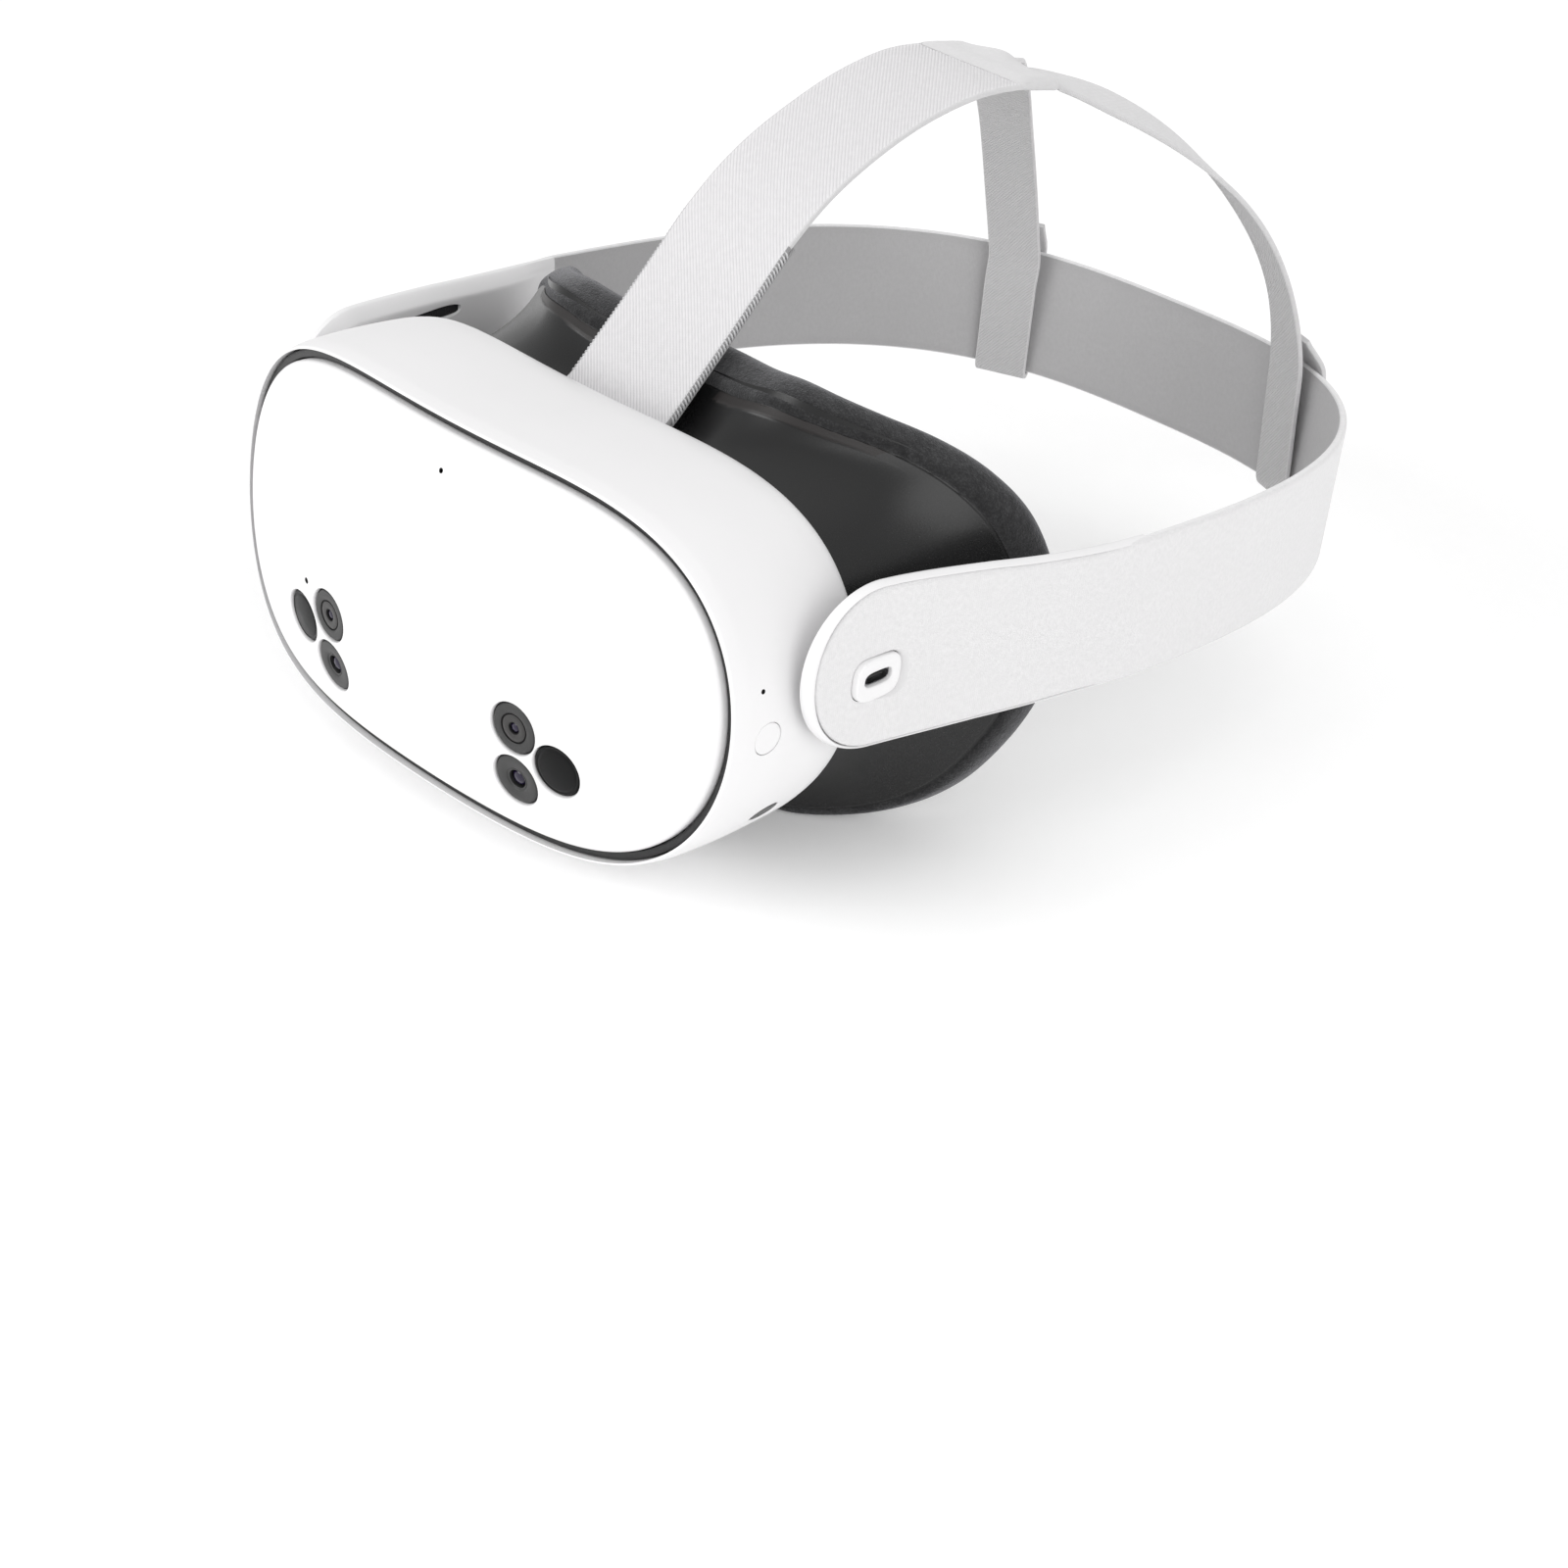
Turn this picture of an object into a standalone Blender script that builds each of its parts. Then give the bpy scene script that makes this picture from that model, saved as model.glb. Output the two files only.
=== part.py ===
# Standalone-type VR headset: visor, facial interface, pivoting strap arms,
# elastic side band and split top strap.  Metres, +Z up, -Y is the front.
# The root empty puts the origin on the flat underside of the visor.
import math
import bpy
import bmesh
from mathutils import Vector, Matrix

for old in list(bpy.data.objects):
    bpy.data.objects.remove(old, do_unlink=True)
for block in list(bpy.data.meshes):
    bpy.data.meshes.remove(block)

MM = 0.001

# ----------------------------------------------------------------- dimensions
# All in millimetres, in the visor's design frame: origin at the centre of the
# parting line between faceplate and housing, +X is the wearer's left.
SEAM_HALF_W = 92.0            # parting line half width
SEAM_TOP, SEAM_BOTTOM = 50.15, 47.54
SEAM_POWER_X, SEAM_POWER_Z = 4.46, 2.0
SEAM_GAP = 2.6                # width of the dark gap round the faceplate
FACE_BULGE = 8.44
FACE_THICK = 2.0
HOUSING_DEPTH = 46.0
HOUSING_WALL = 2.2
HOUSING_HALF_W = 95.0
UNDERSIDE_Z = -49.6           # flat underside
REST_Y = 20.0                 # centre of the flat underside

PIVOT_Y, PIVOT_Z = 51.0, 11.0  # strap arm tilt axis, along X
ARM_FRONT_R = 24.0
ARM_END_Y = 137.0
BAND_HALF_W, BAND_LEN, BAND_POWER = 115.5, 159.2, 2.77
BAND_START_Y = 140.0
BAND_THICK, BAND_HEIGHT = 2.2, 41.0
COVER_THICK = 1.6

STRAP_W, STRAP_THICK = 37.5, 1.6
LEG_W, LEG_THICK = 17.0, 1.5
LOOP_X = 57.0                 # where the split legs loop round the band

CAMERA_X, CAMERA_UP_Z, CAMERA_LOW_Z = 36.5, -15.5, -30.9
IR_X, IR_Z = 50.1, -22.2
CAMERA_R = 7.25
LENS_IPD_HALF = 31.5
FOAM_R = 6.2


# ---------------------------------------------------------------- mesh helpers
def material(name, rgb, rough, metal=0.0):
    m = bpy.data.materials.get(name)
    if m is None:
        m = bpy.data.materials.new(name)
        m.use_nodes = True
        b = m.node_tree.nodes["Principled BSDF"]
        b.inputs["Base Color"].default_value = (*rgb, 1.0)
        b.inputs["Roughness"].default_value = rough
        b.inputs["Metallic"].default_value = metal
        m.diffuse_color = (*rgb, 1.0)
    return m


WHITE = ("white_shell", (0.80, 0.80, 0.81), 0.38)
BLACK = ("black_gloss", (0.012, 0.012, 0.013), 0.25)
DARK = ("dark_satin", (0.045, 0.045, 0.048), 0.42)
FOAM = ("foam_fabric", (0.06, 0.06, 0.064), 0.95)
CLOTH = ("strap_fabric", (0.78, 0.78, 0.78), 0.9)
RIB = ("ribbed_webbing", (0.66, 0.66, 0.67), 0.92)
GLASS = ("lens_glass", (0.02, 0.02, 0.05), 0.05)
STEEL = ("steel", (0.55, 0.56, 0.58), 0.3, 1.0)
BOARD = ("circuit_board", (0.02, 0.14, 0.05), 0.5)
ALU = ("aluminium_sheet", (0.72, 0.73, 0.75), 0.35, 1.0)
CELL = ("battery_wrap", (0.09, 0.09, 0.10), 0.5)

ROOT = bpy.data.objects.new("headset_origin", None)
bpy.context.scene.collection.objects.link(ROOT)
ROOT.location = (0.0, -REST_Y * MM, -UNDERSIDE_Z * MM)


def make(name, verts, faces, mat, origin=(0, 0, 0), parent=ROOT, smooth=35.0,
         rotation=None):
    """Closed mesh from mm points; the object's origin is put at `origin`."""
    mesh = bpy.data.meshes.new(name)
    o = Vector(origin)
    mesh.from_pydata([tuple((Vector(v) - o) * MM) for v in verts], [], faces)
    bm = bmesh.new()
    bm.from_mesh(mesh)
    bmesh.ops.remove_doubles(bm, verts=bm.verts, dist=0.000005)
    bmesh.ops.recalc_face_normals(bm, faces=bm.faces)
    bm.to_mesh(mesh)
    bm.free()
    mesh.shade_smooth()
    mesh.set_sharp_from_angle(angle=math.radians(smooth))
    obj = bpy.data.objects.new(name, mesh)
    bpy.context.scene.collection.objects.link(obj)
    if mat is not None:
        obj.data.materials.append(material(*mat))
    obj.parent = parent
    obj.location = o * MM
    if rotation is not None:
        obj.rotation_euler = rotation
    return obj


def loft(rings, close=False):
    """Skin of a list of rings; a ring of one point is a pole.  Open ends are
    capped with one face each unless the loft closes on itself."""
    verts, index, faces = [], [], []
    for ring in rings:
        index.append(list(range(len(verts), len(verts) + len(ring))))
        verts += list(ring)
    pairs = [(i, i + 1) for i in range(len(rings) - 1)]
    if close:
        pairs.append((len(rings) - 1, 0))
    for a, b in pairs:
        ra, rb = index[a], index[b]
        n = max(len(ra), len(rb))
        for k in range(n):
            k2 = (k + 1) % n
            if len(ra) == 1:
                faces.append((ra[0], rb[k2], rb[k]))
            elif len(rb) == 1:
                faces.append((ra[k], ra[k2], rb[0]))
            else:
                faces.append((ra[k], ra[k2], rb[k2], rb[k]))
    if not close:
        if len(index[0]) > 2:
            faces.append(tuple(reversed(index[0])))
        if len(index[-1]) > 2:
            faces.append(tuple(index[-1]))
    return verts, faces


def frame_from(normal, up=(0, 0, 1)):
    n = Vector(normal).normalized()
    u = Vector(up).cross(n).normalized()
    return u, n.cross(u), n


def turned(profile, centre, normal, n=24):
    """Closed turned body: profile of (radius, height) from one pole or edge
    to the other, height measured along the normal."""
    u, v, w = frame_from(normal, (0, 0, 1) if abs(Vector(normal).normalized().z) < 0.9 else (0, 1, 0))
    c = Vector(centre)
    rings = []
    for r, h in profile:
        if r < 1e-6:
            rings.append([c + w * h])
        else:
            rings.append([c + w * h + (u * math.cos(2 * math.pi * k / n) + v * math.sin(2 * math.pi * k / n)) * r
                          for k in range(n)])
    closed = profile[0][0] > 1e-6 and profile[-1][0] > 1e-6 and profile[0] == profile[-1]
    if closed:
        return loft(rings[:-1], close=True)
    return loft(rings)


def block(lo, hi, edge=0.6):
    """Box with bevelled edges, from its two corners."""
    (x0, y0, z0), (x1, y1, z1) = lo, hi
    e = min(edge, (x1 - x0) * 0.3, (y1 - y0) * 0.3, (z1 - z0) * 0.3)
    def ring(y, i):
        a, b, c, d = x0 + i, x1 - i, z0 + i, z1 - i
        return [(a + e, y, c), (b - e, y, c), (b, y, c + e), (b, y, d - e),
                (b - e, y, d), (a + e, y, d), (a, y, d - e), (a, y, c + e)]
    return loft([ring(y0, e), ring(y0 + e, 0), ring(y1 - e, 0), ring(y1, e)])


def merge(*parts):
    verts, faces = [], []
    for v, f in parts:
        base = len(verts)
        verts += list(v)
        faces += [tuple(i + base for i in q) for q in f]
    return verts, faces


def cutter(name, data, parent=ROOT):
    c = make(name, data[0], data[1], None, parent=parent)
    c.hide_render = True
    c.display_type = "WIRE"
    return c


def boolean(obj, tool, operation="DIFFERENCE"):
    m = obj.modifiers.new(operation.lower(), "BOOLEAN")
    m.operation = operation
    m.solver = "EXACT"
    m.object = tool
    return m


def resample(points, n, closed):
    """n points equally spaced along a dense polyline."""
    pts = [Vector(p) for p in points]
    if closed:
        pts.append(pts[0])
    acc = [0.0]
    for a, b in zip(pts, pts[1:]):
        acc.append(acc[-1] + (b - a).length)
    out, j = [], 0
    steps = n if closed else n - 1
    for k in range(n):
        s = acc[-1] * k / steps
        while j < len(acc) - 2 and acc[j + 1] < s:
            j += 1
        t = 0 if acc[j + 1] == acc[j] else (s - acc[j]) / (acc[j + 1] - acc[j])
        out.append(pts[j].lerp(pts[j + 1], min(1.0, max(0.0, t))))
    return out


# -------------------------------------------------------------- visor geometry
def power(c, p):
    return math.copysign(abs(c) ** p, c)


def outline(half_w, top, bottom, n=40, px=SEAM_POWER_X, pz=SEAM_POWER_Z, dense=1440):
    """Rounded visor outline in (x, z), equally spaced, from the top centre."""
    pts = []
    for k in range(dense):
        a = math.pi / 2 - 2 * math.pi * k / dense
        x = half_w * power(math.cos(a), 2 / px)
        s = math.sin(a)
        pts.append((x, 0, (top if s > 0 else bottom) * power(s, 2 / pz)))
    return [(p.x, p.z) for p in resample(pts, n, True)]


def seam_y(x, z):
    """Curved surface that carries the parting line."""
    return 1.362e-3 * x * x - 0.766e-8 * x ** 4 + 0.03 * z - 0.179e-3 * z * z


def face_y(x, z):
    r = abs(x / SEAM_HALF_W) ** SEAM_POWER_X + abs(z / (SEAM_TOP if z > 0 else SEAM_BOTTOM)) ** SEAM_POWER_Z
    return seam_y(x, z) - FACE_BULGE * (1 - min(r, 1.0))


def face_normal(x, z, h=0.5):
    fx = (face_y(x + h, z) - face_y(x - h, z)) / (2 * h)
    fz = (face_y(x, z + h) - face_y(x, z - h)) / (2 * h)
    return Vector((fx, -1.0, fz)).normalized()


# faceplate: a dished shell with a short skirt
g = SEAM_GAP / 2
plate = outline(SEAM_HALF_W - g, SEAM_TOP - g, SEAM_BOTTOM - g)
rings = []
for s in (0.0, 0.4, 0.72, 0.92, 0.985):
    rings.append([(0, face_y(0, 0), 0)] if s == 0 else
                 [(x * s, face_y(x * s, z * s), z * s) for x, z in plate])
rings.append([(x * 0.998, face_y(x, z) + 0.5, z * 0.998) for x, z in plate])
rings.append([(x, face_y(x, z) + 1.4, z) for x, z in plate])
rings.append([(x, face_y(x, z) + 4.4, z) for x, z in plate])
rings.append([(x * 0.978, face_y(x, z) + 4.4, z * 0.962) for x, z in plate])
for s in (0.93, 0.66, 0.0):
    rings.append([(0, face_y(0, 0) + FACE_THICK, 0)] if s == 0 else
                 [(x * s, face_y(x * s, z * s) + FACE_THICK, z * s) for x, z in plate])
faceplate = make("faceplate", *loft(rings), WHITE)

# sensor positions on the faceplate
SENSORS = []
for side, sx in (("left", 1), ("right", -1)):
    SENSORS.append(("camera", side + "_upper", sx * CAMERA_X, CAMERA_UP_Z))
    SENSORS.append(("camera", side + "_lower", sx * CAMERA_X, CAMERA_LOW_Z))
    SENSORS.append(("ir", side, sx * IR_X, IR_Z))
STEM_R = CAMERA_R - 1.3
LED_X, LED_Z = -47.0, -9.5
holes = []
for kind, tag, x, z in SENSORS:
    p = (x, face_y(x, z), z)
    nrm = face_normal(x, z)
    holes.append(turned([(0, -14), (STEM_R + 0.35, -14), (STEM_R + 0.35, 5), (0, 5)], p, nrm, 18))
    if kind == "camera":
        make("camera_bezel_" + tag, *turned(
            [(0, -1.6), (3.4, -1.6), (3.4, 0.35), (5.0, 0.35), (5.4, 0.75), (CAMERA_R - 0.25, 0.85),
             (CAMERA_R, 0.6), (CAMERA_R, 0.32), (STEM_R, 0.32), (STEM_R, -8.0), (0, -8.0)], p, nrm, 18), DARK)
        make("camera_lens_" + tag, *turned(
            [(0, -1.3), (3.05, -1.3), (3.05, -0.5), (2.1, 0.0), (0, 0.25)], p, nrm, 12), GLASS)
    else:
        make("ir_window_" + tag, *turned(
            [(0, 1.1), (3.5, 1.0), (CAMERA_R - 0.5, 0.75), (CAMERA_R, 0.5), (CAMERA_R, 0.32), (STEM_R, 0.32),
             (STEM_R, -8.0), (0, -8.0)], p, nrm, 18), BLACK)
p = (LED_X, face_y(LED_X, LED_Z), LED_Z)
nrm = face_normal(LED_X, LED_Z)
holes.append(turned([(0, -14), (1.1, -14), (1.1, 5), (0, 5)], p, nrm, 8))
make("status_led", *turned([(0, -3.5), (0.75, -3.5), (0.75, 0.0), (0, 0.1)], p, nrm, 8), GLASS)
boolean(faceplate, cutter("faceplate_holes", merge(*holes)))

# mid frame: dark ring seen in the gap between faceplate and housing
mf_o = outline(SEAM_HALF_W + g - 0.3, SEAM_TOP + g - 0.3, SEAM_BOTTOM + g - 0.3)
mf_i = outline(SEAM_HALF_W - 6.5, SEAM_TOP - 6.5, SEAM_BOTTOM - 6.5)
mid = [[(x, seam_y(x, z) + d, z) for x, z in ring] for ring, d in
       ((mf_o, 4.8), (mf_o, 8.0), (mf_i, 8.0), (mf_i, 4.8))]
make("mid_frame", *loft(mid, close=True), BLACK)


# housing: shell from the gap back to the facial interface
def housing_ring(d, grow, wall=0.0, n=40):
    """Ring at depth d behind the parting surface, grown outwards by `grow`."""
    w, t, b = SEAM_HALF_W + grow - wall, SEAM_TOP + grow - wall, SEAM_BOTTOM + grow - wall
    out = []
    for x, z in outline(w, t, b, n):
        out.append((x, seam_y(x, z) + d, max(z, UNDERSIDE_Z + wall)))
    return out


H = HOUSING_DEPTH
outer = [(0.0, 1.45), (0.8, 2.05), (6.0, 2.85), (16.0, 3.0), (36.0, 2.3), (41.0, 1.5), (44.6, 0.5), (H, -1.2)]
inner = [(H - 1.2, -2.6), (41.0, -1.2), (28.0, 0.4), (10.5, 0.75)]
rings = [housing_ring(d, gr) for d, gr in outer]
rings += [housing_ring(d, gr + 0.0) for d, gr in ((H, -2.4),)]
rings += [[(x, y, max(z, UNDERSIDE_Z + HOUSING_WALL)) for x, y, z in housing_ring(d, gr)] for d, gr in inner]
rings += [housing_ring(10.5, g)]
rings += [housing_ring(0.0, g)]
housing = make("visor_housing", *loft(rings, close=True), WHITE)

cuts = []
# power button opening on the wearer's left side wall
POWER = (94.0, 25.0, -2.0)
cuts.append(turned([(0, -8), (5.1, -8), (5.1, 6), (0, 6)], (92.5, 25.0, -2.0), (1, 0, 0), 24))
# pivot pin openings on both side walls
for sx in (1, -1):
    cuts.append(turned([(0, -6), (5.4, -6), (5.4, 6), (0, 6)], (sx * 92.0, PIVOT_Y, PIVOT_Z), (sx, 0, 0), 24))
# rocker and action button openings in the underside
ROCKER = (46.0, 24.0)
ACTION = (-46.0, 24.0)
cuts.append(block((ROCKER[0] - 11.2, ROCKER[1] - 2.9, UNDERSIDE_Z - 6), (ROCKER[0] + 11.2, ROCKER[1] + 2.9, UNDERSIDE_Z + 8), 0.8))
cuts.append(turned([(0, -6), (3.9, -6), (3.9, 8), (0, 8)], (ACTION[0], ACTION[1], UNDERSIDE_Z), (0, 0, 1), 20))
# oval charging contact opening low on the wearer's left side
DOCK_N = Vector((0.83, 0.04, -0.55)).normalized()
DOCK_C = Vector((86.1, 33.6, -28.7))
du, dv, dn = frame_from(DOCK_N, (0, 1, 0))


def oval(c, a, b, n, h):
    along = Vector((0, 1, 0)) - n * n.y
    along.normalize()
    across = n.cross(along)
    return [c + n * h + along * (a * math.cos(2 * math.pi * k / 16)) + across * (b * math.sin(2 * math.pi * k / 16))
            for k in range(16)]


cuts.append(loft([oval(DOCK_C, 4.7, 3.1, DOCK_N, -6), oval(DOCK_C, 4.7, 3.1, DOCK_N, 8)]))
boolean(housing, cutter("housing_openings", merge(*cuts)))

make("dock_contact_pad", *loft([oval(DOCK_C, 4.3, 2.7, DOCK_N, -4.0), oval(DOCK_C, 4.3, 2.7, DOCK_N, -0.9),
                                oval(DOCK_C, 3.6, 2.0, DOCK_N, -0.6)]), BLACK)
make("power_button", *turned([(0, -3.2), (4.7, -3.2), (4.7, 2.3), (4.3, 2.65), (0, 2.8)],
                             (92.5, 25.0, -2.0), (1, 0, 0), 24), WHITE, origin=(92.5, 25.0, -2.0))
rz = UNDERSIDE_Z
RP = (ROCKER[0], ROCKER[1], rz + 2.2)
rv, rf = block((ROCKER[0] - 10.6, ROCKER[1] - 2.4, rz + 0.5), (ROCKER[0] + 10.6, ROCKER[1] + 2.4, rz + 4.2), 0.7)
make("volume_rocker", rv, rf, WHITE, origin=RP)
make("action_button", *turned([(0, 0.4), (3.1, 0.4), (3.5, 0.8), (3.5, 4.4), (0, 4.4)],
                              (ACTION[0], ACTION[1], rz), (0, 0, 1), 20), WHITE, origin=(ACTION[0], ACTION[1], rz))

# --------------------------------------------------------------- visor insides
make("battery_pack", *block((-46, 3.0, -5), (20, 9.5, 32), 1.0), CELL)
make("heat_spreader", *block((-66, 10.4, -33), (28, 11.6, 33), 0.3), ALU)
make("mainboard", *block((-70, 14.4, -33), (70, 15.8, 33), 0.3), BOARD)
FAN = (48.0, 5.6, 13.0)
make("fan_housing", *turned([(4.5, 0), (14.5, 0), (15.0, 0.5), (15.0, 7.5), (13.6, 7.5), (13.6, 1.2), (4.5, 1.2), (4.5, 0)],
                            FAN, (0, 1, 0), 18), DARK)
blades = [turned([(0, 1.7), (4.0, 1.7), (4.0, 6.8), (0, 6.8)], FAN, (0, 1, 0), 14)]
rotor = make("fan_rotor", *blades[0], DARK, origin=FAN)
for k in range(5):
    a = 2 * math.pi * k / 5
    c, s = math.cos(a), math.sin(a)
    pr = []
    for r, tw in ((3.0, 0.0), (8.0, 0.16), (12.8, 0.42)):
        cc, ss = math.cos(a + tw), math.sin(a + tw)
        px, pz = -ss * 0.45, cc * 0.45
        cx, cz = FAN[0] + r * cc, FAN[2] + r * ss
        pr.append([(cx + px, FAN[1] + 2.0, cz + pz), (cx - px, FAN[1] + 2.0, cz - pz),
                   (cx - px, FAN[1] + 6.4, cz - pz), (cx + px, FAN[1] + 6.4, cz + pz)])
    boolean(rotor, cutter("fan_blade_%d" % k, loft(pr)), "UNION")

make("display_panel", *block((-62, 20.0, -31), (62, 22.0, 31), 0.3), GLASS)
df = make("display_frame", *block((-69, 17.6, -36), (69, 25.0, 36), 0.8), DARK)
boolean(df, cutter("display_pocket", block((-62.5, 19.6, -31.5), (62.5, 30, 31.5), 0.3)))
boolean(df, cutter("display_window", block((-56, 14, -25), (56, 24, 25), 0.3)))

for side, sx in (("left", 1), ("right", -1)):
    cx = sx * LENS_IPD_HALF
    c = (cx, 0, 0)
    barrel = make("lens_barrel_" + side, *turned(
        [(21.0, 45.2), (22.6, 45.2), (23.0, 44.6), (23.0, 28.0), (20.0, 28.0), (20.0, 36.2), (21.0, 36.2), (21.0, 45.2)],
        c, (0, 1, 0), 24), DARK, origin=c)
    lugs = merge(block((cx - 6, 31.0, 22.0), (cx + 6, 35.0, 31.0), 0.8), block((cx - 6, 31.0, -31.0), (cx + 6, 35.0, -22.0), 0.8))
    boolean(barrel, cutter("lens_lugs_" + side, lugs), "UNION")
    rods = merge(*[turned([(0, -12), (1.55, -12), (1.55, 12), (0, 12)], (cx, 33.0, z), (1, 0, 0), 10) for z in (27.5, -27.5)])
    boolean(barrel, cutter("rail_holes_" + side, rods))
    make("eye_lens_" + side, *turned([(0, 36.6), (20.6, 37.4), (20.6, 40.6), (17.5, 43.0), (11.0, 44.6), (0, 45.2)],
                                     c, (0, 1, 0), 24), GLASS, origin=c)
for tag, z in (("upper", 27.5), ("lower", -27.5)):
    make("ipd_rail_" + tag, *turned([(0, -62), (1.2, -62), (1.2, 62), (0, 62)], (0, 33.0, z), (1, 0, 0), 10), STEEL)

bay_plate = make("lens_bay_cover", *loft([[(x, 46.0, z) for x, z in outline(84, 44, 43)],
                                          [(x, 47.4, z) for x, z in outline(84, 44, 43)]]), DARK)
SCREW = ((60, 30), (-60, 30), (60, -30), (-60, -30))
bay_holes = [turned([(0, 40), (26.6, 40), (26.6, 52), (0, 52)], (sx * LENS_IPD_HALF, 0, 0), (0, 1, 0), 24) for sx in (1, -1)]
bay_holes += [turned([(0, 40), (1.7, 40), (1.7, 52), (0, 52)], (x, 0, z), (0, 1, 0), 8) for x, z in SCREW]
boolean(bay_plate, cutter("lens_bay_holes", merge(*bay_holes)))
for i, (x, z) in enumerate(SCREW):
    make("cover_screw_%d" % (i + 1), *turned([(0, 30), (1.35, 30), (1.35, 47.8), (2.6, 47.8), (2.6, 48.6), (1.9, 49.2), (0, 49.2)],
                                            (x, 0, z), (0, 1, 0), 8), STEEL)

# ------------------------------------------------------------ facial interface
# centre line of the face foam, wearer's left half, from the forehead round the
# temple and cheek to the nose
FOAM_LINE = [(0, 82, 51), (15, 81.8, 51.5), (29, 81.4, 53), (39.5, 81.8, 54.5), (48, 85, 52.5), (56.5, 91.5, 48.5),
             (66.5, 101, 43), (77, 109.6, 36.8), (84.6, 116.8, 28.3), (89, 122, 17), (91.3, 125.3, 4.2),
             (92, 126, -8.8), (91.2, 123, -21.4), (88.3, 116.6, -32.4), (83.6, 108, -42), (75.6, 98, -48.6),
             (65.6, 87, -51.5), (55, 79, -52), (44, 74.5, -48), (34, 73.5, -40), (25, 74, -30), (14, 75.5, -21),
             (0, 76.5, -17.5)]


def catmull(points, per=12):
    out = []
    n = len(points)
    for i in range(n):
        p0, p1, p2, p3 = (Vector(points[(i + k) % n]) for k in (-1, 0, 1, 2))
        for j in range(per):
            t = j / per
            out.append(0.5 * ((2 * p1) + (p2 - p0) * t + (2 * p0 - 5 * p1 + 4 * p2 - p3) * t * t
                              + (3 * p1 - p0 - 3 * p2 + p3) * t ** 3))
    return out


loop = list(FOAM_LINE) + [(-x, y, z) for x, y, z in reversed(FOAM_LINE[1:-1])]
RIM_N = 48
rim = resample(catmull(loop), RIM_N, True)


def rim_frames():
    out = []
    for k in range(RIM_N):
        t = (rim[(k + 1) % RIM_N] - rim[k - 1])
        t = t.normalized()
        o = Vector((-t.z, 0, t.x))          # outwards in the (x, z) plane
        if o.length < 1e-6:
            o = Vector((0, 0, 1))
        o.normalize()
        out.append(o)
    if out[0].z < 0:
        out = [-o for o in out]
    return out


RIM_OUT = rim_frames()
foam_rings = []
for k in range(RIM_N):
    p, o = rim[k], RIM_OUT[k]
    foam_rings.append([p + o * (FOAM_R * math.cos(2 * math.pi * j / 8)) + Vector((0, 1, 0)) * (FOAM_R * math.sin(2 * math.pi * j / 8))
                       for j in range(8)])
make("face_foam", *loft(foam_rings, close=True), FOAM, smooth=60)

base = outline(82.5, 42.0, 41.5, RIM_N)
frame_rings = []
WALL = 2.0


def frame_point(k, t, off):
    """Point on the flared frame: t = 0 in the visor, t = 1 at the foam."""
    bx, bz = base[k]
    b = Vector((bx, 48.4 + 8.0 * (abs(bx) / 84) ** 4, bz))
    o = RIM_OUT[k]
    e = rim[k] - Vector((0, FOAM_R + 0.4, 0)) + o * (FOAM_R - 1.4)
    y = b.y + (e.y - b.y) * t
    f = t ** 2.1
    q = Vector((b.x + (e.x - b.x) * f, y, b.z + (e.z - b.z) * f))
    if q.z > 0 and abs(q.x) < 36:            # valley where the top strap passes
        q.z -= (1 - (q.x / 36) ** 2) * (5.5 * math.sin(math.pi * t) + 3.0 * t * t)
    bo = Vector((bx, 0, bz * 3)).normalized()
    n = bo.lerp(o, f).normalized()
    return q - n * off


for t in (0.0, 0.3, 0.55, 0.8, 1.0):
    frame_rings.append([frame_point(k, t, 0.0) for k in range(RIM_N)])
for t in (1.0, 0.7, 0.4, 0.0):
    frame_rings.append([frame_point(k, t, WALL) for k in range(RIM_N)])
make("interface_frame", *loft(frame_rings, close=True), DARK)

# ------------------------------------------------------------------ strap arms
def hermite(t, a, b, ma, mb):
    return ((2 * t ** 3 - 3 * t * t + 1) * a + (t ** 3 - 2 * t * t + t) * ma
            + (-2 * t ** 3 + 3 * t * t) * b + (t ** 3 - t * t) * mb)


def arm_x(y):
    """Outer surface of the arm cover at distance y."""
    L = BAND_START_Y - 27.0
    t = max(0.0, (y - 27.0) / L)
    return hermite(min(t, 1.0), 100.2, BAND_HALF_W, 0.06 * L, 0.03 * L)


def arm_half(y):
    if y < PIVOT_Y:
        return math.sqrt(max(ARM_FRONT_R ** 2 - (PIVOT_Y - y) ** 2, 4.0))
    t = min(1.0, (y - PIVOT_Y) / 76.0)
    return ARM_FRONT_R + (BAND_HEIGHT / 2 - ARM_FRONT_R) * (3 * t * t - 2 * t ** 3)


def band_z(y):
    return 14.66 - 0.048 * (y - 25) - (1.6 if y < 25 else 1.6 * max(0.0, 1 - (y - 25) / 60.0))


def arm_depth(y):
    t = min(1.0, max(0.0, (y - 27) / 35.0))
    return 4.2 + 2.2 * (3 * t * t - 2 * t ** 3)


def inlay(sx, y0, y1, d_in, d_out, half, edge=0.8, lift=0.0):
    """Bar that follows the arm's inner face, d_in to d_out deep."""
    rings = []
    for k in range(6):
        y = y0 + (y1 - y0) * k / 5
        x0 = arm_x(y) - arm_depth(y)
        zc = band_z(y) + lift
        rings.append([(sx * (x0 + a), y, zc + b) for a, b in
                      ((d_in, -half + edge), (d_in + edge, -half), (d_out, -half), (d_out, half), (d_in + edge, half), (d_in, half - edge))])
    return loft(rings)


ARM_Y = [27.2, 28.0, 29.6, 32.5, 36.5, 41.0, 46.0, 51.0, 60.0, 70.0, 82.0, 95.0, 108.0, 122.0]


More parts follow.
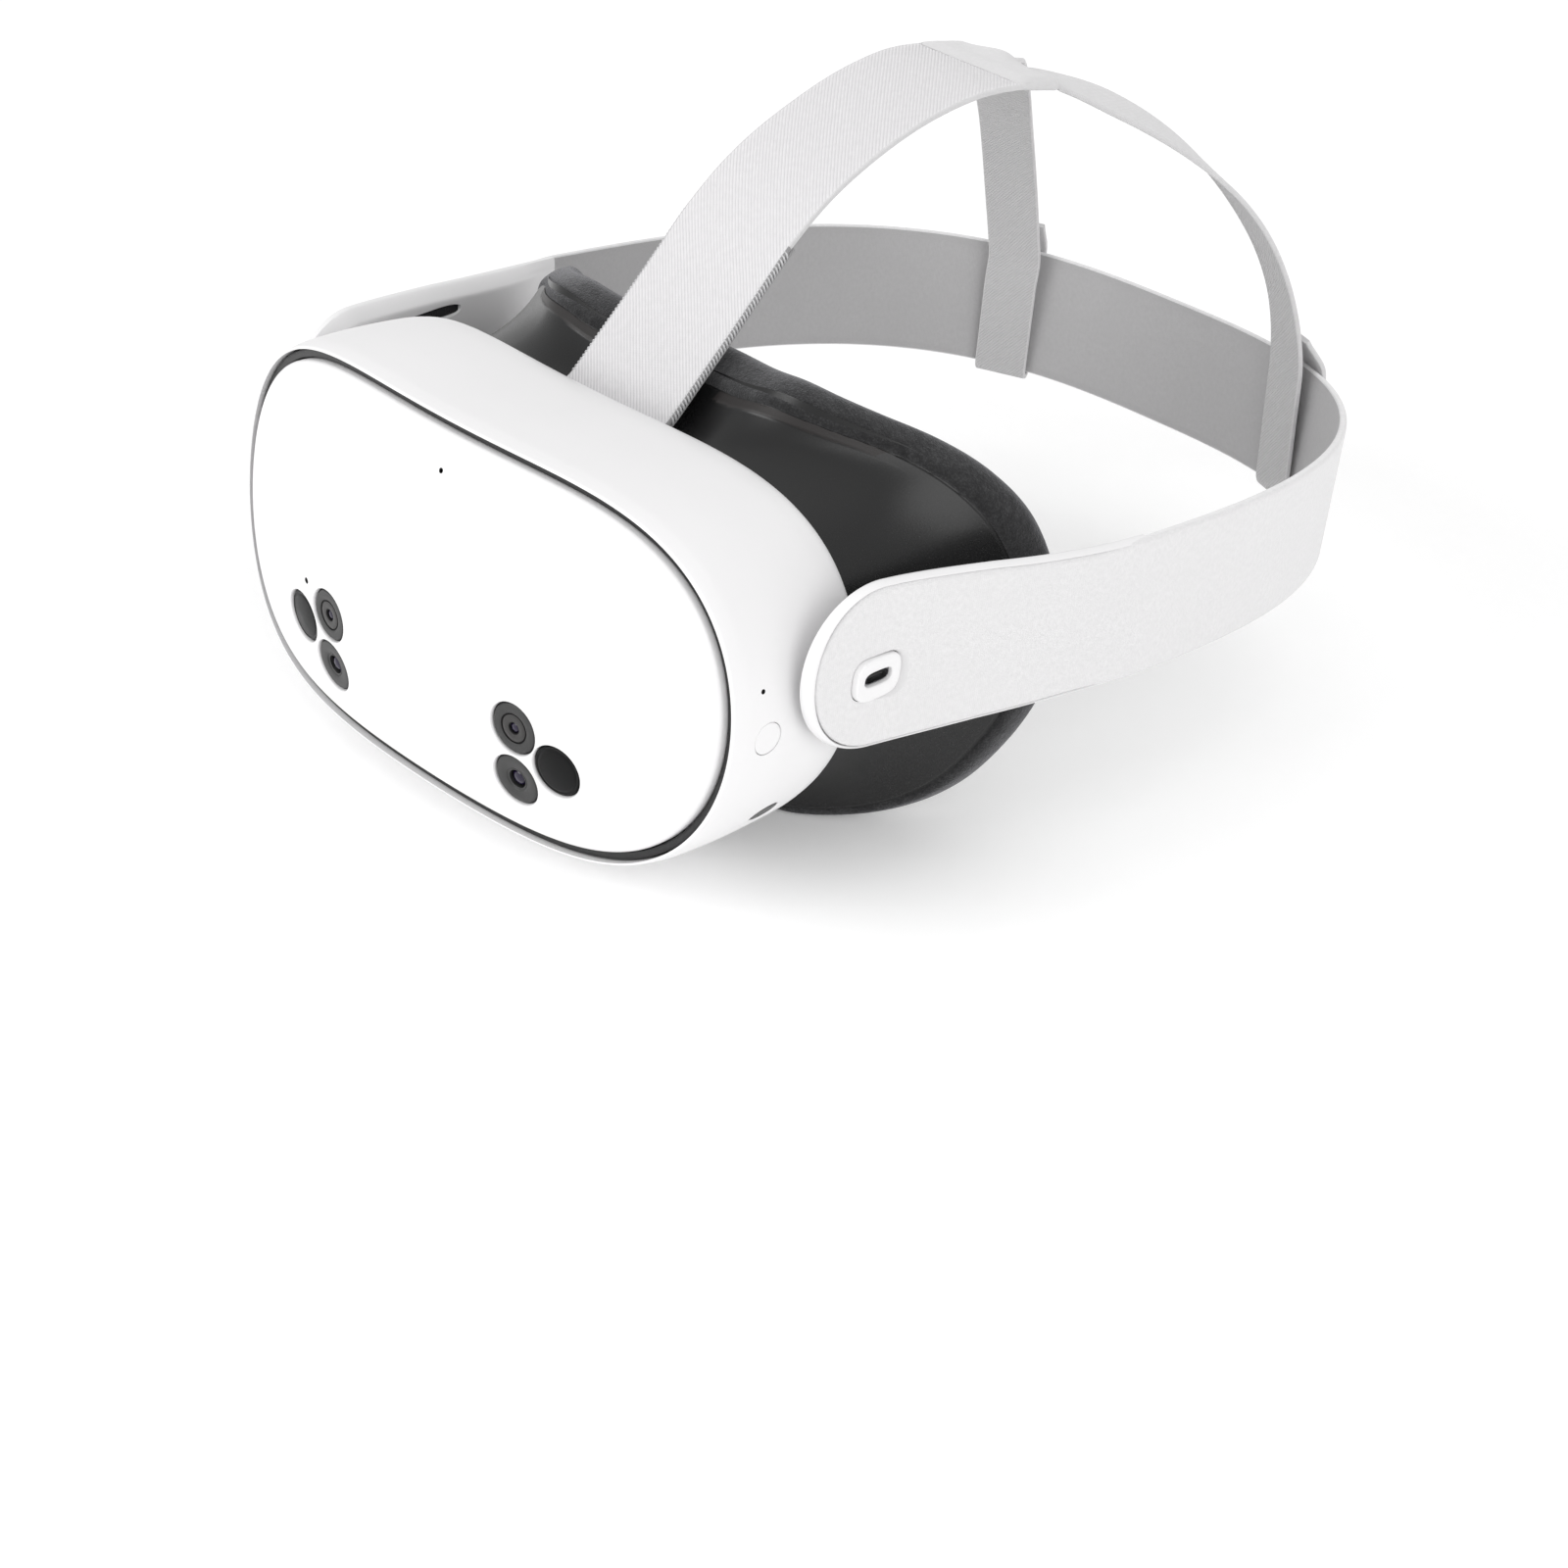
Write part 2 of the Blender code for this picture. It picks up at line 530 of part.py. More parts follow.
def slab(sx, ys, x_in, x_out, shrink, edge):
    """Loft along y of a flat bar standing on edge, corners rounded by edge."""
    rings = []
    for y in ys:
        h = arm_half(y) - shrink
        zc = band_z(y)
        a, b = x_in(y), x_out(y)
        e = min(edge, (b - a) * 0.45, h * 0.5)
        prof = [(a, zc - h + e), (a + e, zc - h), (b - e, zc - h), (b, zc - h + e),
                (b, zc + h - e), (b - e, zc + h), (a + e, zc + h), (a, zc + h - e)]
        rings.append([(sx * x, y, z) for x, z in prof])
    return loft(rings)


# USB-type port in the wearer's left arm
def stadium(x, hy, hz, n=20, pw=0.55):
    return [(x, PIVOT_Y + hy * power(math.cos(2 * math.pi * k / n), pw), PIVOT_Z + hz * power(math.sin(2 * math.pi * k / n), pw * 1.3))
            for k in range(n)]


arm_objs = {}
for side, sx in (("left", 1), ("right", -1)):
    ends = ARM_Y + [ARM_END_Y]
    arm = make("arm_" + side, *slab(sx, ends, lambda y: arm_x(y) - arm_depth(y), lambda y: arm_x(y) - COVER_THICK - 0.3, 0.0, 1.2),
               WHITE, origin=(sx * 96.0, PIVOT_Y, PIVOT_Z))
    cover = make("arm_cover_" + side, *slab(sx, [y + 1.2 * max(0, (60 - y) / 33) for y in ends],
                                            lambda y: arm_x(y) - COVER_THICK, lambda y: arm_x(y), 1.0, 0.7),
                 CLOTH, origin=(sx * 96.0, PIVOT_Y, PIVOT_Z))
    xi = arm_x(PIVOT_Y) - arm_depth(PIVOT_Y)
    tools = [turned([(0, -4), (5.3, -4), (5.3, 0.9), (0, 0.9)], (sx * xi, PIVOT_Y, PIVOT_Z), (sx, 0, 0), 24)]
    # speaker pocket in the inner face, open towards the head
    tools.append(inlay(sx, 60.0, 93.0, -2.0, 3.3, 1.9, 0.1, 14.8))
    if side == "left":
        tools.append(loft([stadium(arm_x(PIVOT_Y) + h, 4.75, 1.95) for h in (-4.7, -3.0)]))
    boolean(arm, cutter("arm_tools_" + side, merge(*tools)))
    make("speaker_" + side, *inlay(sx, 60.5, 92.5, 0.6, 2.9, 1.5, 0.3, 14.8), BLACK)
    make("pivot_pin_" + side, *turned([(0, 0), (4.95, 0), (4.95, xi + 0.5 - 84.0), (0, xi + 0.5 - 84.0)],
                                      (sx * 84.0, PIVOT_Y, PIVOT_Z), (sx, 0, 0), 24), STEEL)
    arm_objs[side] = (arm, cover)


PX = arm_x(PIVOT_Y)
boolean(arm_objs["left"][1], cutter("cover_port_hole", loft([stadium(PX - 6, 8.1, 6.1), stadium(PX + 4, 8.1, 6.1)])))
boolean(arm_objs["left"][0], cutter("arm_port_recess", loft([stadium(PX - 3.2, 8.1, 6.1), stadium(PX + 4, 8.1, 6.1)])))
make("port_collar", *loft([stadium(PX - 2.9, 7.8, 5.8), stadium(PX + 0.4, 7.8, 5.8), stadium(PX + 0.8, 7.3, 5.3),
                           stadium(PX + 0.7, 5.1, 2.25), stadium(PX + 0.1, 4.75, 1.95), stadium(PX - 2.9, 4.75, 1.95)], close=True), WHITE)
make("port_shell", *loft([stadium(PX - 4.2, 4.4, 1.6), stadium(PX - 0.4, 4.4, 1.6), stadium(PX - 0.4, 4.05, 1.28),
                          stadium(PX - 3.9, 4.05, 1.28)]), STEEL)
make("port_tongue", *block((PX - 3.6, PIVOT_Y - 3.2, PIVOT_Z - 0.35), (PX - 1.2, PIVOT_Y + 3.2, PIVOT_Z + 0.35), 0.1), BLACK)


# ------------------------------------------------------------------- side band
def band_path(n):
    pts = [(arm_x(y), y, 0) for y in (ARM_END_Y + 0.4, BAND_START_Y)]
    for k in range(1, 360):
        a = math.pi * k / 360
        pts.append((BAND_HALF_W * power(math.cos(a), 2 / BAND_POWER),
                    BAND_START_Y + BAND_LEN * abs(math.sin(a)) ** (2 / BAND_POWER), 0))
    pts += [(-arm_x(y), y, 0) for y in (BAND_START_Y, ARM_END_Y + 0.4)]
    return resample(pts, n, False)


def path_normal(pts, k):
    a, b = pts[max(0, k - 1)], pts[min(len(pts) - 1, k + 1)]
    t = (b - a).normalized()
    return Vector((t.y, -t.x, 0)), t


def upright(pts, thick, half_h, grow=0.0, first=0, last=None, edge=0.6):
    """Rings of an upright strap section along part of a path."""
    rings = []
    last = len(pts) - 1 if last is None else last
    for k in range(first, last + 1):
        nrm, t = path_normal(pts, k)
        zc = band_z(pts[k].y)
        a, b, h = -thick - grow, grow, half_h + grow
        e = min(edge, (b - a) * 0.4)
        prof = [(a, -h + e), (a + e, -h), (b - e, -h), (b, -h + e), (b, h - e), (b - e, h), (a + e, h), (a, h - e)]
        rings.append([pts[k] + nrm * u + Vector((0, 0, zc + w)) for u, w in prof])
    return rings


BAND_N = 45
bp = band_path(BAND_N)
make("side_band", *loft(upright(bp, BAND_THICK, BAND_HEIGHT / 2)), CLOTH, origin=(96.0, PIVOT_Y, PIVOT_Z))

fine = band_path(400)
for side, sx in (("left", 1), ("right", -1)):
    mid_k = min(range(60, 340), key=lambda k: abs(fine[k].x - sx * LOOP_X))
    step = (fine[mid_k + 1] - fine[mid_k]).length
    ks = [int(round(mid_k + (u * LEG_W / 2) / step)) for u in (-1, -0.5, 0, 0.5, 1)]
    def sleeve(grow):
        out = []
        for k in ks:
            out.append(upright(fine, BAND_THICK, BAND_HEIGHT / 2, grow, k, k)[0])
        return out
    make("band_loop_" + side, *loft(sleeve(1.5) + list(reversed(sleeve(0.35))), close=True), RIB, origin=(96.0, PIVOT_Y, PIVOT_Z))

# ------------------------------------------------------------------- top strap
STRAP_LINE = [(59.0, 45.0), (67.5, 53.5), (76.5, 62.5), (86.5, 73), (97, 84), (110.5, 94.5), (127, 103), (146.5, 109.9), (166, 113.5), (182, 113.5)]


def strap_rings(line, thick, width, offset=0.0, per=5):
    pts = [Vector((0, y, z)) for y, z in line]
    dense = []
    for i in range(len(pts) - 1):
        p0, p1, p2, p3 = pts[max(0, i - 1)], pts[i], pts[i + 1], pts[min(len(pts) - 1, i + 2)]
        for j in range(8):
            t = j / 8
            dense.append(0.5 * ((2 * p1) + (p2 - p0) * t + (2 * p0 - 5 * p1 + 4 * p2 - p3) * t * t + (3 * p1 - p0 - 3 * p2 + p3) * t ** 3))
    dense.append(pts[-1])
    line2 = resample(dense, per, False)
    rings = []
    for k, p in enumerate(line2):
        a, b = line2[max(0, k - 1)], line2[min(len(line2) - 1, k + 1)]
        t = (b - a).normalized()
        nrm = Vector((0, -t.z, t.y))
        w, e = width / 2, 0.4
        prof = [(-w + e, -thick / 2), (w - e, -thick / 2), (w, -thick / 2 + e), (w, thick / 2 - e),
                (w - e, thick / 2), (-w + e, thick / 2), (-w, thick / 2 - e), (-w, -thick / 2 + e)]
        rings.append([p + Vector((u, 0, 0)) + nrm * (v + offset) for u, v in prof])
    return rings


make("top_strap_front", *loft(strap_rings(STRAP_LINE, STRAP_THICK, STRAP_W, per=24)), RIB)
make("strap_tail", *loft(strap_rings(STRAP_LINE[:5], 0.9, STRAP_W - 2.0, offset=-1.6, per=10)), RIB)

# anchor bar: a staple from the housing's rear that the strap turns round
bar = []
for x, y in ((-20.5, 40.5), (-20.5, 54.0), (-18.5, 56.0), (18.5, 56.0), (20.5, 54.0), (20.5, 40.5)):
    bar.append(Vector((x, y, 45.7)))
rings = []
for k, p in enumerate(bar):
    a, b = bar[max(0, k - 1)], bar[min(len(bar) - 1, k + 1)]
    t = (b - a).normalized()
    side_v = Vector((t.y, -t.x, 0))
    rings.append([p + side_v * (1.1 * math.cos(2 * math.pi * j / 8)) + Vector((0, 0, 1)) * (1.1 * math.sin(2 * math.pi * j / 8)) for j in range(8)])
make("strap_anchor_bar", *loft(rings), DARK)

# sewn patch where the strap splits, and the two rear legs
patch = strap_rings([(185.5, 112.6), (191, 111.9), (197, 111.1), (203.0, 109.9)], 2.4, STRAP_W, per=5)
make("split_patch", *loft(patch), RIB, origin=(96.0, PIVOT_Y, PIVOT_Z))
LEG = ((10.1, 206.0, 108.8), (11.2, 214.3, 107.6), (56.8, 265.7, 91.2), (53.8, 283.6, 20.6))


def leg_rings(sx, n=16):
    ctrl = [Vector((sx * x, y, z)) for x, y, z in LEG]
    pts = []
    for k in range(n):
        t = 0.98 * k / (n - 1)
        pts.append(ctrl[0] * (1 - t) ** 3 + ctrl[1] * 3 * t * (1 - t) ** 2 + ctrl[2] * 3 * t * t * (1 - t) + ctrl[3] * t ** 3)
    centre = Vector((0, 160, 10))
    rings = []
    for k, p in enumerate(pts):
        a, b = pts[max(0, k - 1)], pts[min(n - 1, k + 1)]
        t = (b - a).normalized()
        out = (p - centre)
        out = (out - t * out.dot(t)).normalized()
        w = t.cross(out).normalized()
        hw, e, h = LEG_W / 2, 0.4, LEG_THICK / 2
        prof = [(-hw + e, -h), (hw - e, -h), (hw, -h + e), (hw, h - e), (hw - e, h), (-hw + e, h), (-hw, h - e), (-hw, -h + e)]
        rings.append([p + w * u + out * v for u, v in prof])
    return rings


for side, sx in (("left", 1), ("right", -1)):
    make("strap_leg_" + side, *loft(leg_rings(sx)), RIB, origin=(96.0, PIVOT_Y, PIVOT_Z))
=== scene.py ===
import math

import bmesh
import bpy
import numpy as np
from mathutils import Matrix, Vector
from mathutils.bvhtree import BVHTree
from mathutils.interpolate import poly_3d_calc


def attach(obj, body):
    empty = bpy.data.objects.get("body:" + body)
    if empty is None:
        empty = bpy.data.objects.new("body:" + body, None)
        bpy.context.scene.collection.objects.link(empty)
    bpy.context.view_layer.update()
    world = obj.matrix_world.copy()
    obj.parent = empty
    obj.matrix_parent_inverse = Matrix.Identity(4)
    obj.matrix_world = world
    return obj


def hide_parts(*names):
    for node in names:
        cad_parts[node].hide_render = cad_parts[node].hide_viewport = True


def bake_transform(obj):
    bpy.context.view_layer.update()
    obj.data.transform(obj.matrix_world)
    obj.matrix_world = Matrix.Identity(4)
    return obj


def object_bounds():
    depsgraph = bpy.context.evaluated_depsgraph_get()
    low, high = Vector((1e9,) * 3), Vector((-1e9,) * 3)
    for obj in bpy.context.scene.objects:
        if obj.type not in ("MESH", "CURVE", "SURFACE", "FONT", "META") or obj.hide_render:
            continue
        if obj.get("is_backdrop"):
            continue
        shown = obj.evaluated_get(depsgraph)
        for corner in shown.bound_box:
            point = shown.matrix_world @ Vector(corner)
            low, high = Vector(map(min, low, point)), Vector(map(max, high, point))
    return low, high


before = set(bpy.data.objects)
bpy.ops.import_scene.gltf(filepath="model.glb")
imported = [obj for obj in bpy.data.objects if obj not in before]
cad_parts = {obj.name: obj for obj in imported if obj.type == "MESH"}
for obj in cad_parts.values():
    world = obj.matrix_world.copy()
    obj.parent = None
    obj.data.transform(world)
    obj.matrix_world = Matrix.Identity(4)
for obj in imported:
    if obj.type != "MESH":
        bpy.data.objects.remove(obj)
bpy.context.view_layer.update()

# Design frame of the headset in millimetres: origin at the middle of the line
# where faceplate and housing part, +X the wearer's left, +Y towards the head.
# SHIFT takes it to the row frame, whose origin is on the flat underside.
SHIFT = np.array([0.0, -20.0, 49.6])


def row(p):
    return (np.asarray(p, float) + SHIFT) * 0.001


# =========================================================== procedural finishes
class Finish:
    """A Principled material and short hands for the nodes that drive it."""

    def __init__(self, name):
        self.m = bpy.data.materials.new(name)
        self.m.use_nodes = True
        self.t = self.m.node_tree
        self.b = self.t.nodes["Principled BSDF"]
        self.c = self.t.nodes.new("ShaderNodeTexCoord")

    def new(self, kind, **values):
        n = self.t.nodes.new(kind)
        for k, v in values.items():
            setattr(n, k, v)
        return n

    def join(self, value, socket):
        if hasattr(value, "links"):
            self.t.links.new(value, socket)
        else:
            socket.default_value = value

    def space(self, which="Object"):
        return self.c.outputs[which]

    def noise(self, vector, scale, detail=2.0, rough=0.5, distort=0.0):
        n = self.new("ShaderNodeTexNoise")
        self.join(vector, n.inputs["Vector"])
        n.inputs["Scale"].default_value = scale
        n.inputs["Detail"].default_value = detail
        n.inputs["Roughness"].default_value = rough
        n.inputs["Distortion"].default_value = distort
        return n.outputs["Fac"]

    def cells(self, vector, scale, feature="F1", random=1.0):
        n = self.new("ShaderNodeTexVoronoi", feature=feature)
        self.join(vector, n.inputs["Vector"])
        n.inputs["Scale"].default_value = scale
        n.inputs["Randomness"].default_value = random
        return n.outputs["Distance"]

    def math(self, op, a, b=0.0, c=0.0):
        n = self.new("ShaderNodeMath", operation=op)
        self.join(a, n.inputs[0])
        self.join(b, n.inputs[1])
        self.join(c, n.inputs[2])
        return n.outputs[0]

    def remap(self, v, a, b, c, d):
        n = self.new("ShaderNodeMapRange")
        self.join(v, n.inputs[0])
        for i, x in enumerate((a, b, c, d)):
            self.join(x, n.inputs[i + 1])
        return n.outputs[0]

    def mix(self, fac, a, b, blend="MIX"):
        n = self.new("ShaderNodeMix", data_type="RGBA", blend_type=blend)
        self.join(fac, n.inputs[0])
        self.join(a if hasattr(a, "links") else (*a, 1.0), n.inputs[6])
        self.join(b if hasattr(b, "links") else (*b, 1.0), n.inputs[7])
        return n.outputs[2]

    def split(self, vector):
        n = self.new("ShaderNodeSeparateXYZ")
        self.join(vector, n.inputs[0])
        return n.outputs

    def stretch(self, vector, sx, sy, sz):
        n = self.new("ShaderNodeMapping")
        self.join(vector, n.inputs["Vector"])
        n.inputs["Scale"].default_value = (sx, sy, sz)
        return n.outputs[0]

    def sine(self, v, period, phase=0.0):
        """A sine of v between 0 and 1, with this period."""
        s = self.math("SINE", self.math("MULTIPLY_ADD", v, 2 * math.pi / period, phase))
        return self.math("MULTIPLY_ADD", s, 0.5, 0.5)

    def bump(self, height, depth, strength=1.0, after=None):
        n = self.new("ShaderNodeBump")
        n.inputs["Strength"].default_value = strength
        n.inputs["Distance"].default_value = depth
        self.join(height, n.inputs["Height"])
        if after is not None:
            self.join(after, n.inputs["Normal"])
        return n.outputs[0]

    def pointiness(self):
        return self.new("ShaderNodeNewGeometry").outputs["Pointiness"]

    def put(self, **values):
        names = {"color": "Base Color", "rough": "Roughness", "metal": "Metallic", "normal": "Normal", "coat": "Coat Weight",
                 "coat_rough": "Coat Roughness", "sheen": "Sheen Weight", "sheen_rough": "Sheen Roughness",
                 "sheen_tint": "Sheen Tint", "spec": "Specular IOR Level", "film": "Thin Film Thickness", "film_ior": "Thin Film IOR",
                 "aniso": "Anisotropic", "diffuse_rough": "Diffuse Roughness", "coat_normal": "Coat Normal"}
        for k, v in values.items():
            if isinstance(v, tuple):
                v = (*v, 1.0)
            self.join(v, self.b.inputs[names[k]])
        return self.m


def scaled(rgb, k):
    return tuple(min(1.0, x * k) for x in rgb)


def moulded(name, rgb, rough, grain=0.00003, cell=2400.0, wear=0.05, coat=0.0, spec=0.5):
    """Moulded plastic: fine spark-eroded grain, faint flow shading, edges
    polished and a little paler where fingers rub."""
    f = Finish(name)
    o = f.space()
    fine = f.noise(o, cell, 2.0, 0.55)
    mid = f.noise(o, 240.0, 3.0, 0.5)
    broad = f.noise(o, 16.0, 3.0, 0.5, 0.4)
    tone = f.mix(f.remap(broad, 0.3, 0.7, 0.0, 1.0), scaled(rgb, 0.985), scaled(rgb, 1.012))
    tone = f.mix(f.math("MULTIPLY", f.remap(mid, 0.62, 0.75, 0.0, 1.0), 0.10), tone, scaled(rgb, 0.94))
    edge = f.remap(f.pointiness(), 0.53, 0.60, 0.0, 1.0)
    rubbed = f.math("MULTIPLY", edge, f.remap(mid, 0.35, 0.65, 0.35, 1.0))
    tone = f.mix(f.math("MULTIPLY", rubbed, wear), tone, scaled(rgb, 1.25 if max(rgb) < 0.5 else 0.92))
    r = f.math("ADD", rough, f.remap(fine, 0.2, 0.8, -0.035, 0.035))
    r = f.math("ADD", r, f.remap(broad, 0.3, 0.7, -0.03, 0.03))
    r = f.math("SUBTRACT", r, f.math("MULTIPLY", rubbed, 0.07))
    return f.put(color=tone, rough=r, normal=f.bump(fine, grain), coat=coat, coat_rough=0.2, spec=spec)


def gloss(name, rgb, rough=0.09, film=0.0, coat=1.0, spec=0.5):
    """Polished black: smudges in the roughness, a few dust specks."""
    f = Finish(name)
    o = f.space()
    smear = f.noise(f.stretch(o, 1.0, 1.0, 2.2), 130.0, 4.0, 0.6, 0.8)
    dust = f.remap(f.cells(o, 900.0), 0.0, 0.07, 1.0, 0.0)
    tone = f.mix(f.math("MULTIPLY", dust, 0.10), rgb, (0.2, 0.2, 0.2))
    tone = f.mix(f.remap(smear, 0.4, 0.8, 0.0, 0.25), tone, scaled(rgb, 1.8))
    r = f.math("ADD", f.remap(smear, 0.35, 0.75, rough, rough + 0.12), f.math("MULTIPLY", dust, 0.2))
    ripple = f.bump(f.noise(o, 420.0, 1.0), 0.000006)
    return f.put(color=tone, rough=r, normal=ripple, coat=coat, coat_rough=0.06, film=film, film_ior=1.38, spec=spec)


def metal(name, rgb, rough=0.28, brush=(1.0, 1.0, 18.0)):
    f = Finish(name)
    o = f.space()
    lines = f.noise(f.stretch(o, *brush), 900.0, 3.0, 0.6)
    stain = f.noise(o, 90.0, 3.0)
    tone = f.mix(f.remap(stain, 0.35, 0.7, 0.0, 1.0), scaled(rgb, 0.86), scaled(rgb, 1.06))
    return f.put(color=tone, rough=f.remap(lines, 0.2, 0.8, rough - 0.08, rough + 0.12), metal=1.0,
                 normal=f.bump(lines, 0.00001), aniso=0.4)


def knit(name, rgb, pitch=0.62, mottle=0.07, depth=0.00007, sheen=0.25, slub=0.5):
    """Fine heather jersey on the UV in millimetres: rows of small loops, with
    paler and darker yarns showing through."""
    f = Finish(name)
    uv = f.space("UV")
    x, y, _ = f.split(uv)
    wob = f.noise(uv, 0.9, 2.0)
    x2 = f.math("MULTIPLY_ADD", wob, 0.30, x)
    y2 = f.math("MULTIPLY_ADD", f.noise(uv, 1.3, 2.0), 0.25, y)
    cols = f.sine(x2, pitch)
    rows = f.sine(f.math("MULTIPLY_ADD", cols, pitch * 0.45, y2), pitch * 0.8)
    loops = f.math("MULTIPLY", cols, rows)
    fuzz = f.noise(uv, 5.5, 3.0, 0.65)
    blot = f.noise(f.stretch(uv, 1.0, 0.75, 1.0), 0.85, 3.0, 0.62)
    wide = f.noise(uv, 0.10, 2.0)
    tone = f.mix(f.remap(blot, 0.34, 0.66, 0.0, 1.0), scaled(rgb, 1 - mottle), scaled(rgb, 1 + mottle * 0.55))
    tone = f.mix(f.remap(wide, 0.3, 0.7, 0.0, 1.0), tone, f.mix(0.5, tone, scaled(rgb, 0.97)))
    tone = f.mix(f.math("MULTIPLY", f.remap(loops, 0.0, 0.35, 1.0, 0.0), 0.14), tone, scaled(rgb, 0.72))
    tone = f.mix(f.math("MULTIPLY", f.remap(fuzz, 0.60, 0.75, 0.0, 1.0), slub * 0.35), tone, scaled(rgb, 1.14))
    h = f.math("ADD", f.math("MULTIPLY", loops, 0.8), f.math("MULTIPLY", fuzz, 0.55))
    n = f.bump(h, depth)
    n = f.bump(blot, 0.00012, 0.6, n)
    return f.put(color=tone, rough=f.remap(fuzz, 0.3, 0.7, 0.86, 0.97), normal=n, sheen=sheen, sheen_rough=0.45, spec=0.25,
                 diffuse_rough=0.6)


def webbing(name, rgb, pitch=0.89, angle=40.0, depth=0.00011, shade=0.16, sheen=0.2, side=1.0):
    """Woven elastic on the UV in millimetres: slanted twill ribs made of short
    floats with painted shade in their grooves, and the rubber threads' faint lengthwise banding."""
    f = Finish(name)
    uv = f.space("UV")
    x, y, _ = f.split(uv)
    ca, sa = math.cos(math.radians(angle)), math.sin(math.radians(angle))
    across = f.math("ADD", f.math("MULTIPLY", x, ca * side), f.math("MULTIPLY", y, sa))
    along = f.math("SUBTRACT", f.math("MULTIPLY", y, ca), f.math("MULTIPLY", x, sa * side))
    across = f.math("MULTIPLY_ADD", f.noise(uv, 0.35, 2.0), 0.16, across)
    rib = f.sine(across, pitch)
    step = f.math("FLOOR", f.math("DIVIDE", across, pitch))
    seg = f.sine(f.math("MULTIPLY_ADD", step, 0.37, along), 0.78)
    fuzz = f.noise(uv, 6.0, 3.0, 0.6)
    blot = f.noise(uv, 0.5, 3.0, 0.6)
    band = f.sine(x, 3.1)
    # painted shade: the colour darkens towards 0.70 of the base in each rib's groove, scaled by shade
    painted_groove_shade = f.math("MULTIPLY", f.remap(rib, 0.0, 0.55, 1.0, 0.0), shade * 2.0)
    tone = f.mix(f.remap(blot, 0.34, 0.66, 0.0, 1.0), scaled(rgb, 0.965), scaled(rgb, 1.02))
    tone = f.mix(f.math("MULTIPLY", band, 0.25), tone, scaled(rgb, 0.985))
    tone = f.mix(painted_groove_shade, tone, scaled(rgb, 0.70))
    tone = f.mix(f.math("MULTIPLY", f.remap(fuzz, 0.58, 0.78, 0.0, 1.0), 0.18), tone, scaled(rgb, 1.15))
    h = f.math("ADD", f.math("MULTIPLY", rib, 0.75), f.math("MULTIPLY", seg, 0.30))
    h = f.math("ADD", h, f.math("MULTIPLY", fuzz, 0.3))
    return f.put(color=tone, rough=f.remap(fuzz, 0.3, 0.7, 0.82, 0.95), normal=f.bump(h, depth), sheen=sheen, sheen_rough=0.4,
                 spec=0.25, diffuse_rough=0.5)


def plush(name, rgb):
    """Short-pile fabric over foam: tufted nap, brushed patches, pale fibre
    tips at grazing angles."""
    f = Finish(name)
    o = f.space()
    pile = f.noise(o, 2100.0, 3.0, 0.7)
    tuft = f.cells(o, 1500.0)
    nap = f.noise(o, 120.0, 4.0, 0.6, 0.6)
    grain = f.noise(o, 520.0, 3.0, 0.65)
    tone = f.mix(f.remap(nap, 0.3, 0.7, 0.0, 1.0), scaled(rgb, 0.72), scaled(rgb, 1.35))
    tone = f.mix(f.remap(grain, 0.40, 0.68, 0.0, 0.6), tone, scaled(rgb, 2.3))
    tone = f.mix(f.math("MULTIPLY", f.remap(tuft, 0.25, 0.6, 0.0, 1.0), 0.5), tone, scaled(rgb, 0.4))
    h = f.math("ADD", f.math("MULTIPLY", pile, 0.8), f.math("MULTIPLY", grain, 1.0))
    return f.put(color=tone, rough=0.98, normal=f.bump(h, 0.00028), sheen=0.55, sheen_rough=0.5, sheen_tint=(0.75, 0.75, 0.78),
                 spec=0.1, diffuse_rough=0.9)


def thread(name, rgb):
    f = Finish(name)
    o = f.space()
    ply = f.noise(f.stretch(o, 1.0, 1.0, 3.0), 2600.0, 2.0)
    tone = f.mix(f.remap(ply, 0.35, 0.65, 0.0, 1.0), scaled(rgb, 0.8), scaled(rgb, 1.08))
    return f.put(color=tone, rough=0.75, normal=f.bump(ply, 0.00006), sheen=0.2, spec=0.3)


def board(name):
    f = Finish(name)
    o = f.space()
    track = f.remap(f.cells(f.stretch(o, 1.0, 0.0, 1.0), 330.0, "DISTANCE_TO_EDGE"), 0.0, 0.12, 1.0, 0.0)
    pads = f.remap(f.cells(f.stretch(o, 1.0, 0.0, 1.0), 210.0, random=0.6), 0.16, 0.2, 1.0, 0.0)
    tone = f.mix(track, (0.010, 0.085, 0.035), (0.02, 0.16, 0.07))
    tone = f.mix(pads, tone, (0.72, 0.60, 0.36))
    return f.put(color=tone, rough=f.remap(pads, 0.0, 1.0, 0.42, 0.25), metal=pads, normal=f.bump(track, 0.00003), coat=0.2)


def perforated(name, rgb, pitch=900.0):
    """Speaker cloth: a dark open mesh."""
    f = Finish(name)
    o = f.space()
    hole = f.remap(f.cells(o, pitch, random=0.12), 0.22, 0.34, 1.0, 0.0)
    tone = f.mix(hole, scaled(rgb, 1.4), (0.002, 0.002, 0.002))
    return f.put(color=tone, rough=0.6, normal=f.bump(hole, 0.0001, 1.0), spec=0.3)


WHITE = moulded("white_moulding", (0.79, 0.785, 0.79), 0.38, 0.000018, 2600.0, 0.10)
WHITE_INNER = moulded("white_moulding_inner", (0.70, 0.70, 0.71), 0.5, 0.00003)
GASKET = moulded("black_gasket", (0.0075, 0.0075, 0.008), 0.34, 0.00002, 2000.0, 0.2)
SENSOR = moulded("sensor_bezel_satin", (0.020, 0.020, 0.020), 0.42, 0.00002, 2600.0, 0.4)
SENSOR_INNER = moulded("sensor_bezel_disc", (0.018, 0.0165, 0.016), 0.36, 0.00002, 2600.0, 0.3)
